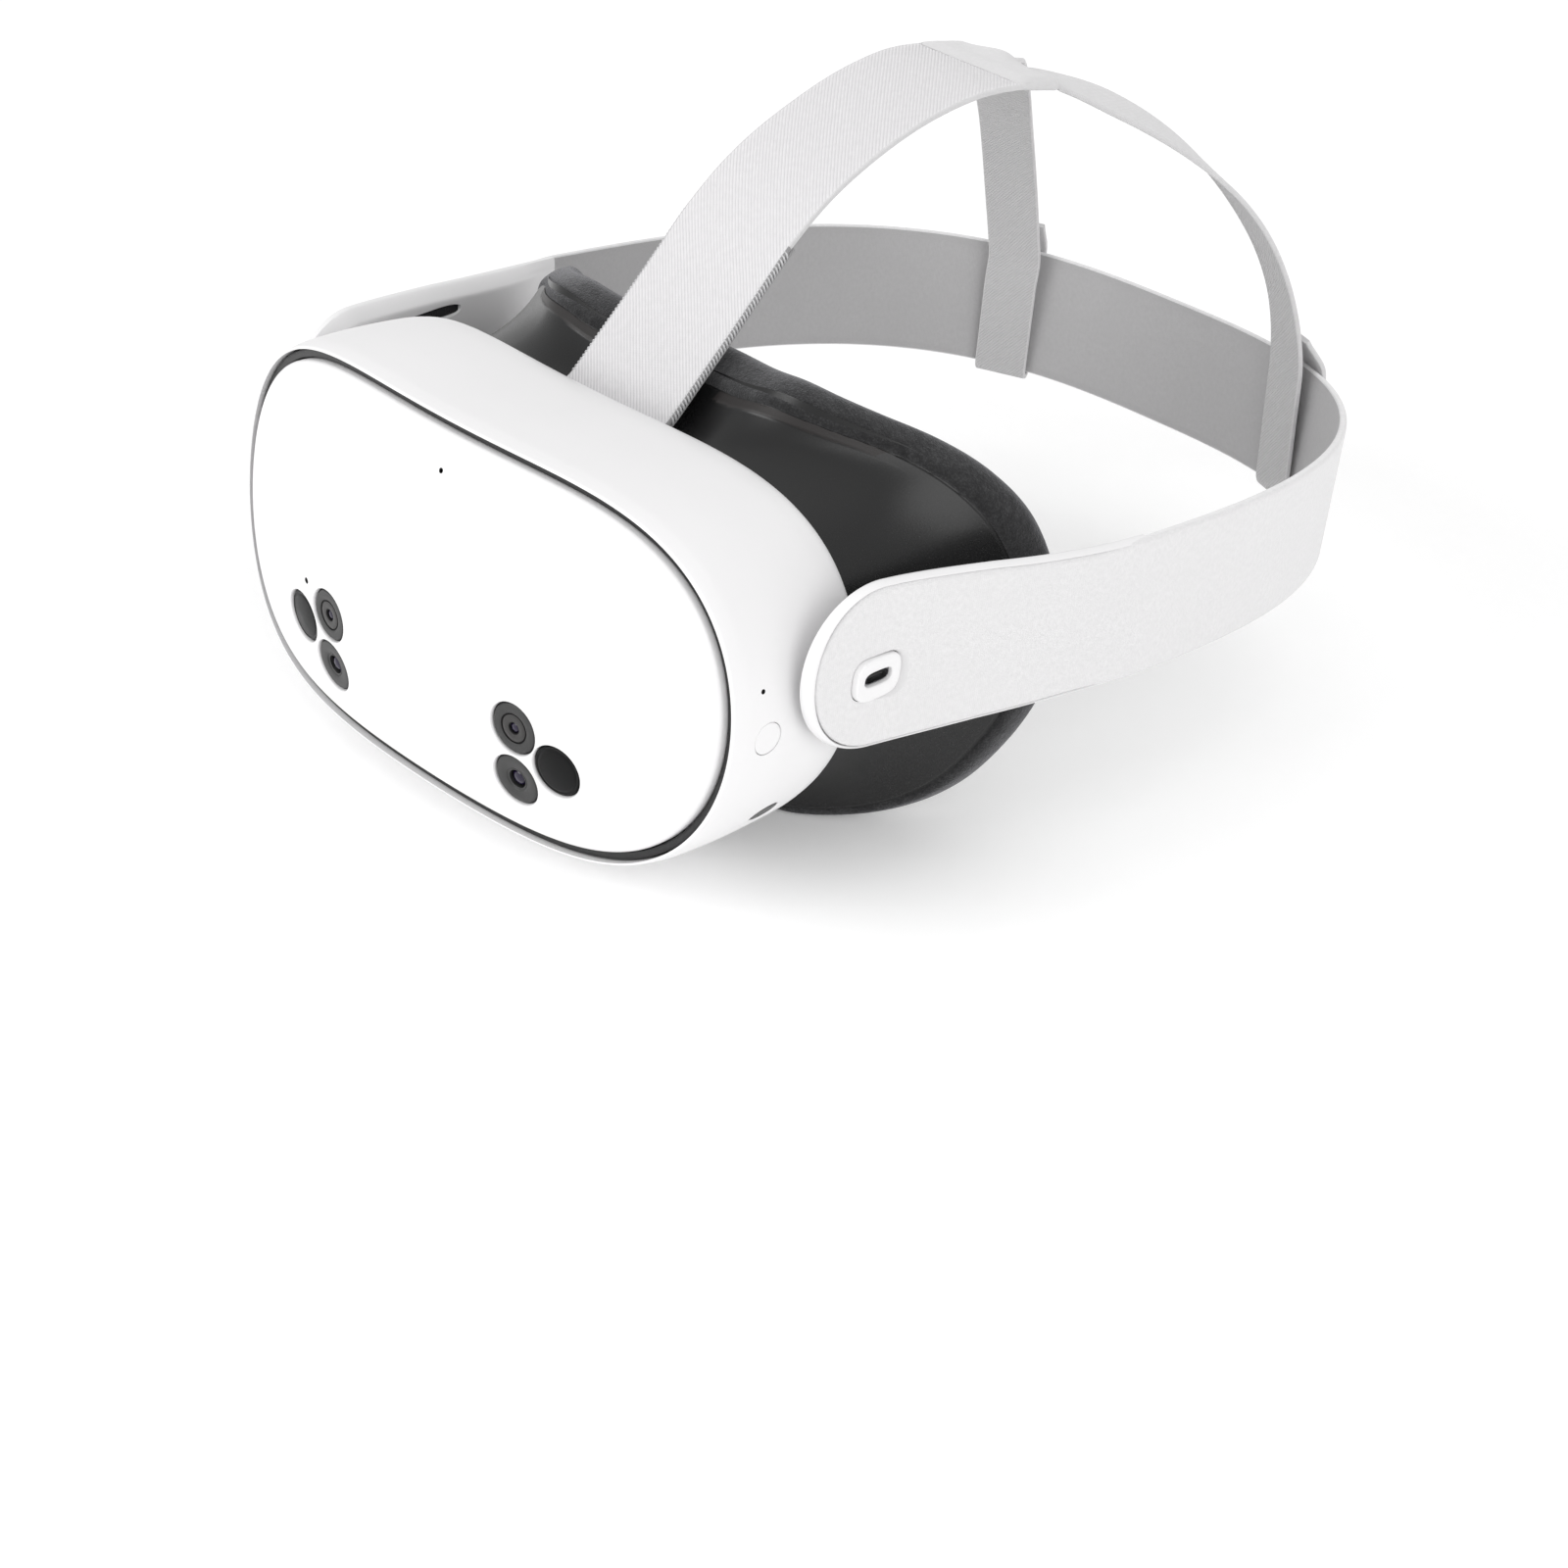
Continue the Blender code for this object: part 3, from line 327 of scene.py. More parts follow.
# near-black: painted shade in the gap between each sensor disc and its cup in the faceplate; the same material also
# lines the ring groove and the lens well
SENSOR_GAP_SHADE = moulded("sensor_bezel_painted_shade", (0.003, 0.003, 0.003), 0.5, 0.00002, 2600.0, 0.1, spec=0.15)
PORT_DARK = moulded("port_interior", (0.006, 0.006, 0.006), 0.6)
IR_GLOSS = gloss("infrared_window", (0.0025, 0.0025, 0.0028), 0.28, coat=0.0, spec=0.14)
CAMERA_GLASS = gloss("camera_glass", (0.010, 0.006, 0.024), 0.04, 0.0, coat=0.0, spec=0.45)
LED_GLASS = gloss("status_led_lens", (0.06, 0.06, 0.065), 0.2)
PAD_GLOSS = gloss("contact_pad_gloss", (0.004, 0.004, 0.004), 0.22, coat=0.0, spec=0.25)
SATIN = moulded("interface_satin", (0.0085, 0.0085, 0.0088), 0.30, 0.000022, 2200.0, 0.25, spec=0.40)
LIP = moulded("interface_lip", (0.017, 0.0145, 0.0142), 0.44, 0.00003, 1800.0, 0.25, spec=0.40)
SATIN_INNER = moulded("interface_inner", (0.022, 0.022, 0.023), 0.55, 0.00004, 1700.0, 0.3)
BAY = moulded("lens_bay_textured", (0.026, 0.026, 0.028), 0.6, 0.00006, 1300.0, 0.4)
BARREL = moulded("lens_barrel_satin", (0.016, 0.016, 0.017), 0.38, 0.00002, 2200.0, 0.5)
EYE_GLASS = gloss("eye_lens_coating", (0.006, 0.005, 0.012), 0.02, 520.0)
PANEL = gloss("display_glass", (0.008, 0.008, 0.010), 0.10)
PLUSH = plush("cushion_plush", (0.027, 0.027, 0.0275))
JERSEY = knit("band_jersey", (0.76, 0.755, 0.76), 0.62, 0.055, 0.00006)
JERSEY_INNER = knit("band_inner_jersey", (0.50, 0.495, 0.50), 0.5, 0.05, 0.00006, 0.15, 0.3)
# the last figure of each webbing sets the strength of its painted groove shade
WEB = webbing("strap_webbing", (0.72, 0.712, 0.722), 0.89, 40.0, 0.00010, 0.30)
WEB_FINE = webbing("leg_webbing", (0.70, 0.695, 0.70), 0.72, 40.0, 0.00009, 0.16)
WEB_INNER = webbing("strap_webbing_inner", (0.64, 0.635, 0.64), 0.62, -42.0, 0.00007, 0.07)
WEB_LOOP = webbing("leg_webbing_inner", (0.58, 0.575, 0.58), 0.80, -42.0, 0.00014, 0.22)
# WEB_SHADE is a darker grey copy of the webbing: painted shade for the gap between the foot's two layers
WEB_SHADE = webbing("overlock_painted_shade", (0.34, 0.335, 0.34), 0.55, 60.0, 0.00008, 0.3)
WEB_EDGE = webbing("strap_selvedge", (0.66, 0.655, 0.66), 0.55, 88.0, 0.00005, 0.10)
BONDED = knit("bonded_patch_fabric", (0.66, 0.655, 0.66), 0.45, 0.03, 0.00003, 0.2, 0.2)
THREAD = thread("stitch_thread", (0.60, 0.60, 0.61))
STEEL = metal("steel_brushed", (0.56, 0.57, 0.59), 0.28)
STEEL_DARK = metal("port_steel", (0.20, 0.20, 0.21), 0.35)
ALU = metal("aluminium_rolled", (0.74, 0.75, 0.77), 0.34, (1.0, 1.0, 30.0))
BOARD = board("circuit_board_green")
CELL = moulded("battery_film", (0.085, 0.085, 0.09), 0.42, 0.00005, 700.0, 0.2, coat=0.3)
GRILLE = perforated("speaker_cloth", (0.012, 0.012, 0.013))


# ================================================================ mesh helpers
def make(name, verts, faces, mats, body=None, uv=None, fmat=None, sharp=38.0, stands=(), slot=None, weld=2e-6):
    """Mesh object from millimetre points in the design frame."""
    mesh = bpy.data.meshes.new(name)
    mesh.from_pydata(row(verts).tolist(), [], [tuple(int(i) for i in f) for f in faces])
    for m in (mats if isinstance(mats, (list, tuple)) else [mats]):
        mesh.materials.append(m)
    if uv is not None:
        idx = np.zeros(len(mesh.loops), np.int32)
        mesh.loops.foreach_get("vertex_index", idx)
        mesh.uv_layers.new(name="UVMap").data.foreach_set("uv", np.asarray(uv, np.float32)[idx].ravel())
    if fmat is not None:
        mesh.polygons.foreach_set("material_index", np.asarray(fmat, np.int32))
    bm = bmesh.new()
    bm.from_mesh(mesh)
    if weld:
        bmesh.ops.remove_doubles(bm, verts=bm.verts, dist=weld)
    bmesh.ops.recalc_face_normals(bm, faces=bm.faces)
    bm.to_mesh(mesh)
    bm.free()
    mesh.shade_smooth()
    mesh.set_sharp_from_angle(angle=math.radians(sharp))
    ob = bpy.data.objects.new(name, mesh)
    bpy.context.scene.collection.objects.link(ob)
    if body:
        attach(ob, body)
    if stands:
        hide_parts(*stands)
    return ob


def net(rows, cols, wrap=True, base=0, close=False):
    """Quads of a grid of rows x cols vertices."""
    a = np.arange(rows * cols).reshape(rows, cols) + base
    if wrap:
        a = np.concatenate([a, a[:, :1]], 1)
    if close:
        a = np.concatenate([a, a[:1]], 0)
    q = np.stack([a[:-1, :-1], a[:-1, 1:], a[1:, 1:], a[1:, :-1]], -1)
    return q.reshape(-1, 4).tolist()


def skin(rings, close=False, caps=True):
    """Rings of equal length into one body."""
    r = np.asarray(rings, float)
    faces = net(r.shape[0], r.shape[1], True, 0, close)
    if caps and not close:
        n = r.shape[1]
        faces.append(list(range(n - 1, -1, -1)))
        faces.append(list(range((r.shape[0] - 1) * n, r.shape[0] * n)))
    return r.reshape(-1, 3), faces


def join_parts(*parts):
    verts, faces = [], []
    base = 0
    for v, f in parts:
        verts.append(np.asarray(v, float))
        faces += [[i + base for i in q] for q in f]
        base += len(v)
    return np.concatenate(verts), faces


def axes(normal, up=(0, 0, 1)):
    n = np.asarray(normal, float)
    n = n / np.linalg.norm(n)
    if abs(np.dot(n, up)) > 0.95:
        up = (0, 1, 0)
    u = np.cross(up, n)
    u = u / np.linalg.norm(u)
    return u, np.cross(n, u), n


def turned(profile, centre, normal, n=96, closed=False):
    u, v, w = axes(normal)
    c = np.asarray(centre, float)
    a = np.linspace(0, 2 * math.pi, n, endpoint=False)
    rings = [c + w * h + (np.outer(np.cos(a), u) + np.outer(np.sin(a), v)) * r for r, h in profile]
    return skin(rings, close=closed, caps=not closed)


def arc(cx, cy, r, a0, a1, n=6):
    """Profile points on a circle, angles in degrees."""
    return [(cx + r * math.cos(math.radians(a0 + (a1 - a0) * k / n)), cy + r * math.sin(math.radians(a0 + (a1 - a0) * k / n)))
            for k in range(n + 1)]


def resample(points, n, closed):
    p = np.asarray(points, float)
    if closed:
        p = np.concatenate([p, p[:1]])
    s = np.concatenate([[0], np.cumsum(np.linalg.norm(np.diff(p, axis=0), axis=1))])
    t = np.linspace(0, s[-1], n + 1)[:-1] if closed else np.linspace(0, s[-1], n)
    return np.stack([np.interp(t, s, p[:, k]) for k in range(p.shape[1])], -1)


def catmull(points, per, closed=False):
    p = np.asarray(points, float)
    n = len(p)
    out = []
    for i in range(n if closed else n - 1):
        if closed:
            p0, p1, p2, p3 = p[(i - 1) % n], p[i], p[(i + 1) % n], p[(i + 2) % n]
        else:
            p0, p1, p2, p3 = p[max(0, i - 1)], p[i], p[i + 1], p[min(n - 1, i + 2)]
        for j in range(per):
            t = j / per
            out.append(0.5 * (2 * p1 + (p2 - p0) * t + (2 * p0 - 5 * p1 + 4 * p2 - p3) * t * t + (3 * p1 - p0 - 3 * p2 + p3) * t ** 3))
    if not closed:
        out.append(p[-1])
    return np.array(out)


def smooth(t):
    t = np.clip(t, 0.0, 1.0)
    return t * t * (3 - 2 * t)


def tool_object(data, mat=None):
    mesh = bpy.data.meshes.new("tool")
    mesh.from_pydata(row(data[0]).tolist(), [], [tuple(int(i) for i in f) for f in data[1]])
    if mat is not None:
        mesh.materials.append(mat)
    bm = bmesh.new()
    bm.from_mesh(mesh)
    bmesh.ops.remove_doubles(bm, verts=bm.verts, dist=2e-6)
    bmesh.ops.recalc_face_normals(bm, faces=bm.faces)
    bm.to_mesh(mesh)
    bm.free()
    ob = bpy.data.objects.new("tool", mesh)
    bpy.context.scene.collection.objects.link(ob)
    return ob


def cut(obj, tools, sharp=38.0):
    """Cuts the tools out and keeps the smooth shading of the untouched skin."""
    src = obj.data
    corner = [n.vector.copy() for n in src.corner_normals]
    tree = BVHTree.FromPolygons([v.co for v in src.vertices], [p.vertices[:] for p in src.polygons])
    polys = [(p.vertices[:], p.loop_start) for p in src.polygons]
    points = [v.co.copy() for v in src.vertices]
    made = []
    for data, mat in tools:
        t = tool_object(data, mat)
        made.append(t)
        m = obj.modifiers.new("cut", "BOOLEAN")
        m.operation = "DIFFERENCE"
        m.solver = "EXACT"
        m.material_mode = "TRANSFER"
        m.object = t
    dg = bpy.context.evaluated_depsgraph_get()
    dg.update()
    mesh = bpy.data.meshes.new_from_object(obj.evaluated_get(dg), depsgraph=dg)
    obj.modifiers.clear()
    for t in made:
        bpy.data.objects.remove(t, do_unlink=True)
    mesh.name = obj.name
    mesh.shade_smooth()
    mesh.set_sharp_from_angle(angle=math.radians(sharp))
    own = [n.vector.copy() for n in mesh.corner_normals]
    co = [v.co for v in mesh.vertices]
    out = []
    for p in mesh.polygons:
        for li in p.loop_indices:
            q = co[mesh.loops[li].vertex_index]
            place, nrm, idx, dist = tree.find_nearest(q)
            best = own[li]
            if idx is not None and dist < 3e-6:
                if p.normal.dot(nrm) < 0.85:
                    for place2, nrm2, idx2, dist2 in tree.find_nearest_range(q, 4e-6):
                        if p.normal.dot(nrm2) > p.normal.dot(nrm):
                            nrm, idx = nrm2, idx2
                if p.normal.dot(nrm) > 0.85:
                    vs, start = polys[idx]
                    w = poly_3d_calc([points[i] for i in vs], q)
                    best = Vector((0, 0, 0))
                    for k, wk in enumerate(w):
                        best += corner[start + k] * wk
                    best.normalize()
            out.append(best)
    mesh.normals_split_custom_set(out)
    obj.data = mesh
    return obj


# ============================================================= shared geometry
SEAM_HALF_W, SEAM_TOP, SEAM_BOTTOM = 92.0, 50.15, 47.54
GAP = 1.3
UNDERSIDE_Z = -49.6
PIVOT_Y, PIVOT_Z = 51.0, 11.0
BAND_HALF_W, BAND_LEN, BAND_POWER = 115.5, 159.2, 2.77
BAND_START_Y, ARM_END_Y, BAND_HEIGHT = 140.0, 137.0, 41.0


def spow(c, p):
    return np.sign(c) * np.abs(c) ** p


def outline(half_w, top, bottom, n, px=4.46, pz=2.0, dense=4320):
    """Rounded visor outline in (x, z), equally spaced, from the top centre."""
    a = math.pi / 2 - 2 * math.pi * np.arange(dense) / dense
    s = np.sin(a)
    p = np.stack([half_w * spow(np.cos(a), 2 / px), np.where(s > 0, top, bottom) * spow(s, 2 / pz)], -1)
    return resample(p, n, True)


def inset(p, d):
    """Closed (x, z) outline moved inwards by d."""
    t = np.roll(p, -1, 0) - np.roll(p, 1, 0)
    t /= np.linalg.norm(t, axis=1)[:, None]
    nrm = np.stack([-t[:, 1], t[:, 0]], -1)
    nrm *= np.where((nrm * p).sum(1) > 0, 1, -1)[:, None]
    return p - nrm * d


def seam_y(x, z):
    return 1.362e-3 * x * x - 0.766e-8 * x ** 4 + 0.03 * z - 0.179e-3 * z * z


def face_y(x, z):
    r = np.abs(x / SEAM_HALF_W) ** 4.46 + np.abs(z / np.where(np.asarray(z) > 0, SEAM_TOP, SEAM_BOTTOM)) ** 2.0
    return seam_y(x, z) - 8.44 * (1 - np.minimum(r, 1.0))


def face_normal(x, z, h=0.5):
    fx = (face_y(x + h, z) - face_y(x - h, z)) / (2 * h)
    fz = (face_y(x, z + h) - face_y(x, z - h)) / (2 * h)
    v = np.array([float(fx), -1.0, float(fz)])
    return v / np.linalg.norm(v)


def on_face(p2, dy=0.0):
    return np.stack([p2[:, 0], face_y(p2[:, 0], p2[:, 1]) + dy, p2[:, 1]], -1)


# ==================================================================== faceplate
N = 384
plate = outline(SEAM_HALF_W - GAP, SEAM_TOP - GAP, SEAM_BOTTOM - GAP, N)
EDGE = 1.1
core = inset(plate, EDGE)
rings = [on_face(core * s) for s in np.concatenate([[0.0], np.linspace(0.02, 1.0, 58)])]
for k in range(1, 9):
    th = math.pi / 2 * k / 8
    rings.append(on_face(inset(plate, EDGE * (1 - math.sin(th))), EDGE * (1 - math.cos(th))))
rings.append(on_face(plate, 4.2))
rings.append(on_face(inset(plate, 1.7), 4.2))
back = inset(plate, 1.9)
for s in (1.0, 0.9, 0.75, 0.55, 0.3, 0.0):
    rings.append(on_face(back * s, 2.0))
V, F = skin(rings, caps=False)
faceplate = make("faceplate_shell", V, F, WHITE, stands=("faceplate",), slot="white_shell")

CAMERA_X, CAMERA_UP_Z, CAMERA_LOW_Z = 36.5, -15.5, -30.9
IR_X, IR_Z = 50.1, -22.2
CUP_R = 7.25
sensors = []
for tag, sx in (("left", 1), ("right", -1)):
    sensors += [("upper", tag, sx * CAMERA_X, CAMERA_UP_Z), ("lower", tag, sx * CAMERA_X, CAMERA_LOW_Z), ("ir", tag, sx * IR_X, IR_Z)]
tools = []
for kind, tag, x, z in sensors:
    p = (x, float(face_y(x, z)), z)
    tools.append((turned([(0, -6), (CUP_R + 0.06, -6), (CUP_R + 0.06, -0.85), (CUP_R + 0.10, -0.55), (CUP_R + 0.20, -0.28), (CUP_R + 0.38, -0.08), (CUP_R + 0.66, 0.06), (CUP_R + 1.4, 0.6), (0, 0.6)],
                         p, face_normal(x, z), 96), WHITE))
LED = (-46.9, -9.9)
MIC = (1.4, 39.7)
for (x, z), r in ((LED, 0.78), (MIC, 0.62)):
    tools.append((turned([(0, -1.5), (r, -1.5), (r, -0.12), (r + 0.3, 0.25), (0, 0.25)], (x, float(face_y(x, z)), z), face_normal(x, z), 32), PORT_DARK))
cut(faceplate, tools)
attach(faceplate, "visor")

for kind, tag, x, z in sensors:
    p, nrm = (x, float(face_y(x, z)), z), face_normal(x, z)
    R = CUP_R
    lip = [(0, -3.2), (R - 0.02, -3.2), (R - 0.02, -1.22), (R - 0.06, -1.16)]
    wall = [(R - 0.30, -1.16)]
    if kind == "upper":
        disc = arc(R - 0.94, -1.14, 0.60, 0, 90, 8)
        ring = [(R - 1.9, -0.54), (4.35, -0.56), (4.22, -0.62), (4.12, -0.86), (3.86, -0.90), (3.74, -0.70), (3.62, -0.64)]
        inner = [(2.6, -0.66), (1.75, -0.70), (1.52, -0.78), (1.42, -1.0), (1.38, -1.9), (0, -1.9)]
        prof, tones = lip + wall + disc + ring + inner, None
        lens = [(0, -0.86), (0.5, -0.90), (0.95, -1.03), (1.34, -1.28), (1.34, -1.85), (0, -1.85)]
    elif kind == "lower":
        disc = arc(R - 0.99, -1.14, 0.65, 0, 90, 8)
        ring = [(R - 2.2, -0.50), (3.75, -0.66), (3.45, -0.74), (3.32, -0.92), (3.12, -0.98), (2.98, -0.86), (2.80, -0.84), (2.62, -0.95)]
        inner = [(2.35, -1.7), (2.2, -2.1), (0, -2.1)]
        prof = lip + wall + disc + ring + inner
        lens = [(0, -0.98), (0.7, -1.04), (1.4, -1.25), (2.12, -1.7), (2.12, -2.05), (0, -2.05)]
    else:
        dome = arc(R - 0.80, -1.12, 0.46, 0, 80, 6)
        dome += [(6.2, -0.78), (5.98, -0.80)] + [(r, -0.66 + 0.42 * (1 - (r / 5.9) ** 2)) for r in (5.8, 5.2, 4.4, 3.3, 2.1, 1.0, 0.0)]
        prof = lip + wall + dome
        lens = None
    V, F = turned(prof, p, nrm, 96)
    radial = np.array([a for a, _ in prof])
    heights = np.array([b for _, b in prof])
    fm = []
    # material 1 is the near-black painted shade: the gap at the cup's rim, plus the ring groove and the lens well
    for i in range(len(prof) - 1):
        r, h = (radial[i] + radial[i + 1]) / 2, (heights[i] + heights[i + 1]) / 2
        if kind == "ir":
            m = 2 if r < R - 0.34 else 1
        elif r > R - 0.34:
            m = 1
        elif r < 1.7 and kind == "upper":
            m = 1
        elif r < 2.7 and kind == "lower":
            m = 1
        elif 3.7 < r < 4.25 and kind == "upper" and h < -0.6:
            m = 1
        elif r < 3.7 and kind == "upper":
            m = 3
        else:
            m = 0
        fm += [m] * 96
    fm += [1, 1]
    cup = make(("infrared_cup_" + tag) if kind == "ir" else "camera_cup_%s_%s" % (tag, kind), V, F,
               [SENSOR, SENSOR_GAP_SHADE, IR_GLOSS, SENSOR_INNER], "visor", fmat=fm, sharp=50,
               stands=("ir_window_" + tag,) if kind == "ir" else ("camera_bezel_%s_%s" % (tag, kind),),
               slot="black_gloss" if kind == "ir" else "dark_satin")
    if lens:
        make("camera_glass_%s_%s" % (tag, kind), *turned(lens, p, nrm, 64), CAMERA_GLASS, "visor", sharp=60,
             stands=("camera_lens_%s_%s" % (tag, kind),), slot="lens_glass")
x, z = LED
make("status_led_lens", *turned([(0, -1.48), (0.7, -1.48), (0.7, -0.5), (0.55, -0.36), (0, -0.28)], (x, float(face_y(x, z)), z), face_normal(x, z), 32),
     LED_GLASS, "visor", stands=("status_led",), slot="lens_glass")

# black gasket that shows as the dark line between faceplate and housing
SECTION = [(-1.0, 1.75), (-0.92, 1.58), (-0.7, 1.5), (0.0, 1.46), (0.7, 1.5), (0.92, 1.58), (1.0, 1.75), (1.0, 8.0), (-6.5, 8.0), (-6.5, 4.8), (-1.0, 4.8)]
base_line = outline(SEAM_HALF_W, SEAM_TOP, SEAM_BOTTOM, N)
rings = []
for off, d in SECTION:
    q = inset(base_line, -off)
    rings.append(np.stack([q[:, 0], seam_y(base_line[:, 0], base_line[:, 1]) + d, q[:, 1]], -1))
make("seam_gasket", *skin(rings, close=True), GASKET, "visor", stands=("mid_frame",), slot="black_gloss")


# ====================================================================== housing
def housing_ring(d, grow, floor=UNDERSIDE_Z, n=N):
    q = outline(SEAM_HALF_W + grow, SEAM_TOP + grow, SEAM_BOTTOM + grow, n)
    x, z = q[:, 0], q[:, 1]
    a = z - floor
    zc = floor + 0.5 * (a + np.sqrt(a * a + 0.02))
    return np.stack([x, seam_y(x, z) + d, np.where(a > 3, z, zc)], -1)


front = [(0.0, 1.32), (0.02, 1.5), (0.12, 1.72), (0.3, 1.9), (0.6, 2.02)]
body_line = catmull([(0.8, 2.05), (3.0, 2.45), (6.0, 2.75), (16.0, 3.0), (26.0, 2.80), (36.0, 2.3), (41.0, 1.55)], 5)
rear = [(42.3, 1.25), (43.5, 0.85), (44.5, 0.38), (45.2, -0.15), (45.7, -0.75), (45.95, -1.4), (46.0, -2.0)]
outer = front + [tuple(p) for p in body_line] + rear
rings = [housing_ring(d, g) for d, g in outer]
rings.append(housing_ring(46.0, -2.8))
for d, g in ((45.0, -3.0), (41.0, -1.4), (28.0, 0.3), (10.5, 0.6)):
    rings.append(housing_ring(d, g, UNDERSIDE_Z + 2.2))
rings.append(housing_ring(10.5, 1.3))
rings.append(housing_ring(1.6, 1.32))
V, F = skin(rings, close=True)
housing = make("visor_shell", V, F, WHITE, stands=("visor_housing",), slot="white_shell")
HOUSING_TREE = BVHTree.FromPolygons([Vector(v) for v in V], F)


def hit(start, direction):
    p, n, _, _ = HOUSING_TREE.ray_cast(Vector(start), Vector(direction))
    if p is None:
        p, n, _, _ = HOUSING_TREE.find_nearest(Vector(start))
    return np.array(p), np.array(n) * (1 if n.dot(Vector(direction)) < 0 else -1)


POWER_YZ = (22.8, -0.5)
tools = [(turned([(0, -6), (4.42, -6), (4.42, 2.42), (4.7, 2.9), (5.2, 6), (0, 6)], (92.5, *POWER_YZ), (1, 0, 0), 128), WHITE)]
mic_p, mic_n = hit((130, 20.7, 12.5), (-1, 0, 0))
tools.append((turned([(0, -1.4), (0.58, -1.4), (0.58, -0.1), (0.85, 0.3), (0, 0.3)], mic_p, mic_n, 32), PORT_DARK))
DOCK_N = np.array([0.83, 0.04, -0.55]) / np.linalg.norm([0.83, 0.04, -0.55])
DOCK_C = np.array([86.1, 33.6, -28.7])
dock_p, _ = hit(DOCK_C + DOCK_N * 30, -DOCK_N)
dock_h = float(np.dot(dock_p - DOCK_C, DOCK_N))


def oval(c, a, b, n, h, count=96):
    along = np.array([0, 1.0, 0]) - n * n[1]
    along /= np.linalg.norm(along)
    across = np.cross(n, along)
    k = np.linspace(0, 2 * math.pi, count, endpoint=False)
    return c + n * h + np.outer(a * np.cos(k), along) + np.outer(b * np.sin(k), across)


tools.append((skin([oval(DOCK_C, 4.7, 3.1, DOCK_N, dock_h - 6), oval(DOCK_C, 4.7, 3.1, DOCK_N, dock_h - 0.42), oval(DOCK_C, 4.85, 3.25, DOCK_N, dock_h - 0.3),
                    oval(DOCK_C, 5.5, 3.9, DOCK_N, dock_h - 0.10), oval(DOCK_C, 7.6, 6.0, DOCK_N, dock_h + 0.7)]), WHITE))


def stadium_ring(x, hy, hz, cy, cz, n=96, pw=0.55):
    k = 2 * math.pi * np.arange(n) / n
    return np.stack([np.full(n, x), cy + hy * spow(np.cos(k), pw), cz + hz * spow(np.sin(k), pw * 1.3)], -1)


def flat_ring(cx, cy, z, hx, hy, n=96, pw=0.4):
    k = 2 * math.pi * np.arange(n) / n
    return np.stack([cx + hx * spow(np.cos(k), pw), cy + hy * spow(np.sin(k), pw * 1.6), np.full(n, z)], -1)


tools.append((skin([flat_ring(46, 24, UNDERSIDE_Z + h, 11.2 + e, 2.9 + e) for h, e in ((7, 0), (0.3, 0), (0.12, 0.08), (-0.15, 0.35), (-3, 0.35))]), WHITE))
tools.append((turned([(0, -7), (3.9, -7), (3.9, -0.3), (3.98, -0.1), (4.25, 0.2), (4.25, 3), (0, 3)], (-46, 24, UNDERSIDE_Z), (0, 0, -1), 96), WHITE))
cut(housing, tools)
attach(housing, "visor")

# flush power button that takes the curve of the side wall
rings = []
for r in (0.0, 1.1, 2.2, 3.0, 3.6, 3.95):
    rings.append((r, -0.02))
rings += [(4.12, -0.05), (4.22, -0.14), (4.26, -0.3), (4.26, -2.6)]
k = np.linspace(0, 2 * math.pi, 96, endpoint=False)
cap = []
for r, dx in rings:
    ring = []
    for a in k:
        y, z = POWER_YZ[0] + r * math.cos(a), POWER_YZ[1] + r * math.sin(a)
        ring.append(hit((130, y, z), (-1, 0, 0))[0] + np.array([dx, 0, 0]))
    cap.append(np.array(ring))
cap.append(np.repeat(cap[-1].mean(0)[None], 96, 0))
make("power_button_cap", *skin(cap, caps=False), WHITE, "power_key", stands=("power_button",), slot="white_shell", sharp=50)

rocker = [(4.2, 1.0), (1.2, 0.0), (0.75, -0.06), (0.55, -0.25), (0.46, -0.6), (0.44, -1.1)]
rr = []
for h, e in rocker:
    q = flat_ring(46, 24, UNDERSIDE_Z + h, 10.6 + min(e, 0), 2.4 + min(e, 0))
    rr.append(q)
top = flat_ring(46, 24, UNDERSIDE_Z + 0.42, 7.5, 0.55)
top[:, 2] += 0.35 * np.exp(-((top[:, 0] - 46) / 2.4) ** 2)
for q in rr[-2:]:
    q[:, 2] += 0.25 * np.exp(-((q[:, 0] - 46) / 2.6) ** 2)
rr.append(top)
make("volume_rocker_cap", *skin(rr), WHITE, "volume_key", stands=("volume_rocker",), slot="white_shell", sharp=50)
make("action_button_cap", *turned([(0, -4.4), (3.5, -4.4), (3.5, -0.8)] + arc(3.1, -0.8, 0.4, 0, 90, 6) + [(2.2, -0.44), (0, -0.52)], (-46, 24, UNDERSIDE_Z), (0, 0, -1), 96),
     WHITE, "action_key", stands=("action_button",), slot="white_shell", sharp=50)
make("dock_contact_face", *skin([oval(DOCK_C, 4.62, 3.02, DOCK_N, dock_h - 4.0), oval(DOCK_C, 4.62, 3.02, DOCK_N, dock_h - 0.5), oval(DOCK_C, 4.5, 2.9, DOCK_N, dock_h - 0.32),
                                 oval(DOCK_C, 4.2, 2.6, DOCK_N, dock_h - 0.26), oval(DOCK_C, 2.2, 1.2, DOCK_N, dock_h - 0.28)]), PAD_GLOSS, "visor",
     stands=("dock_contact_pad",), slot="black_gloss", sharp=50)


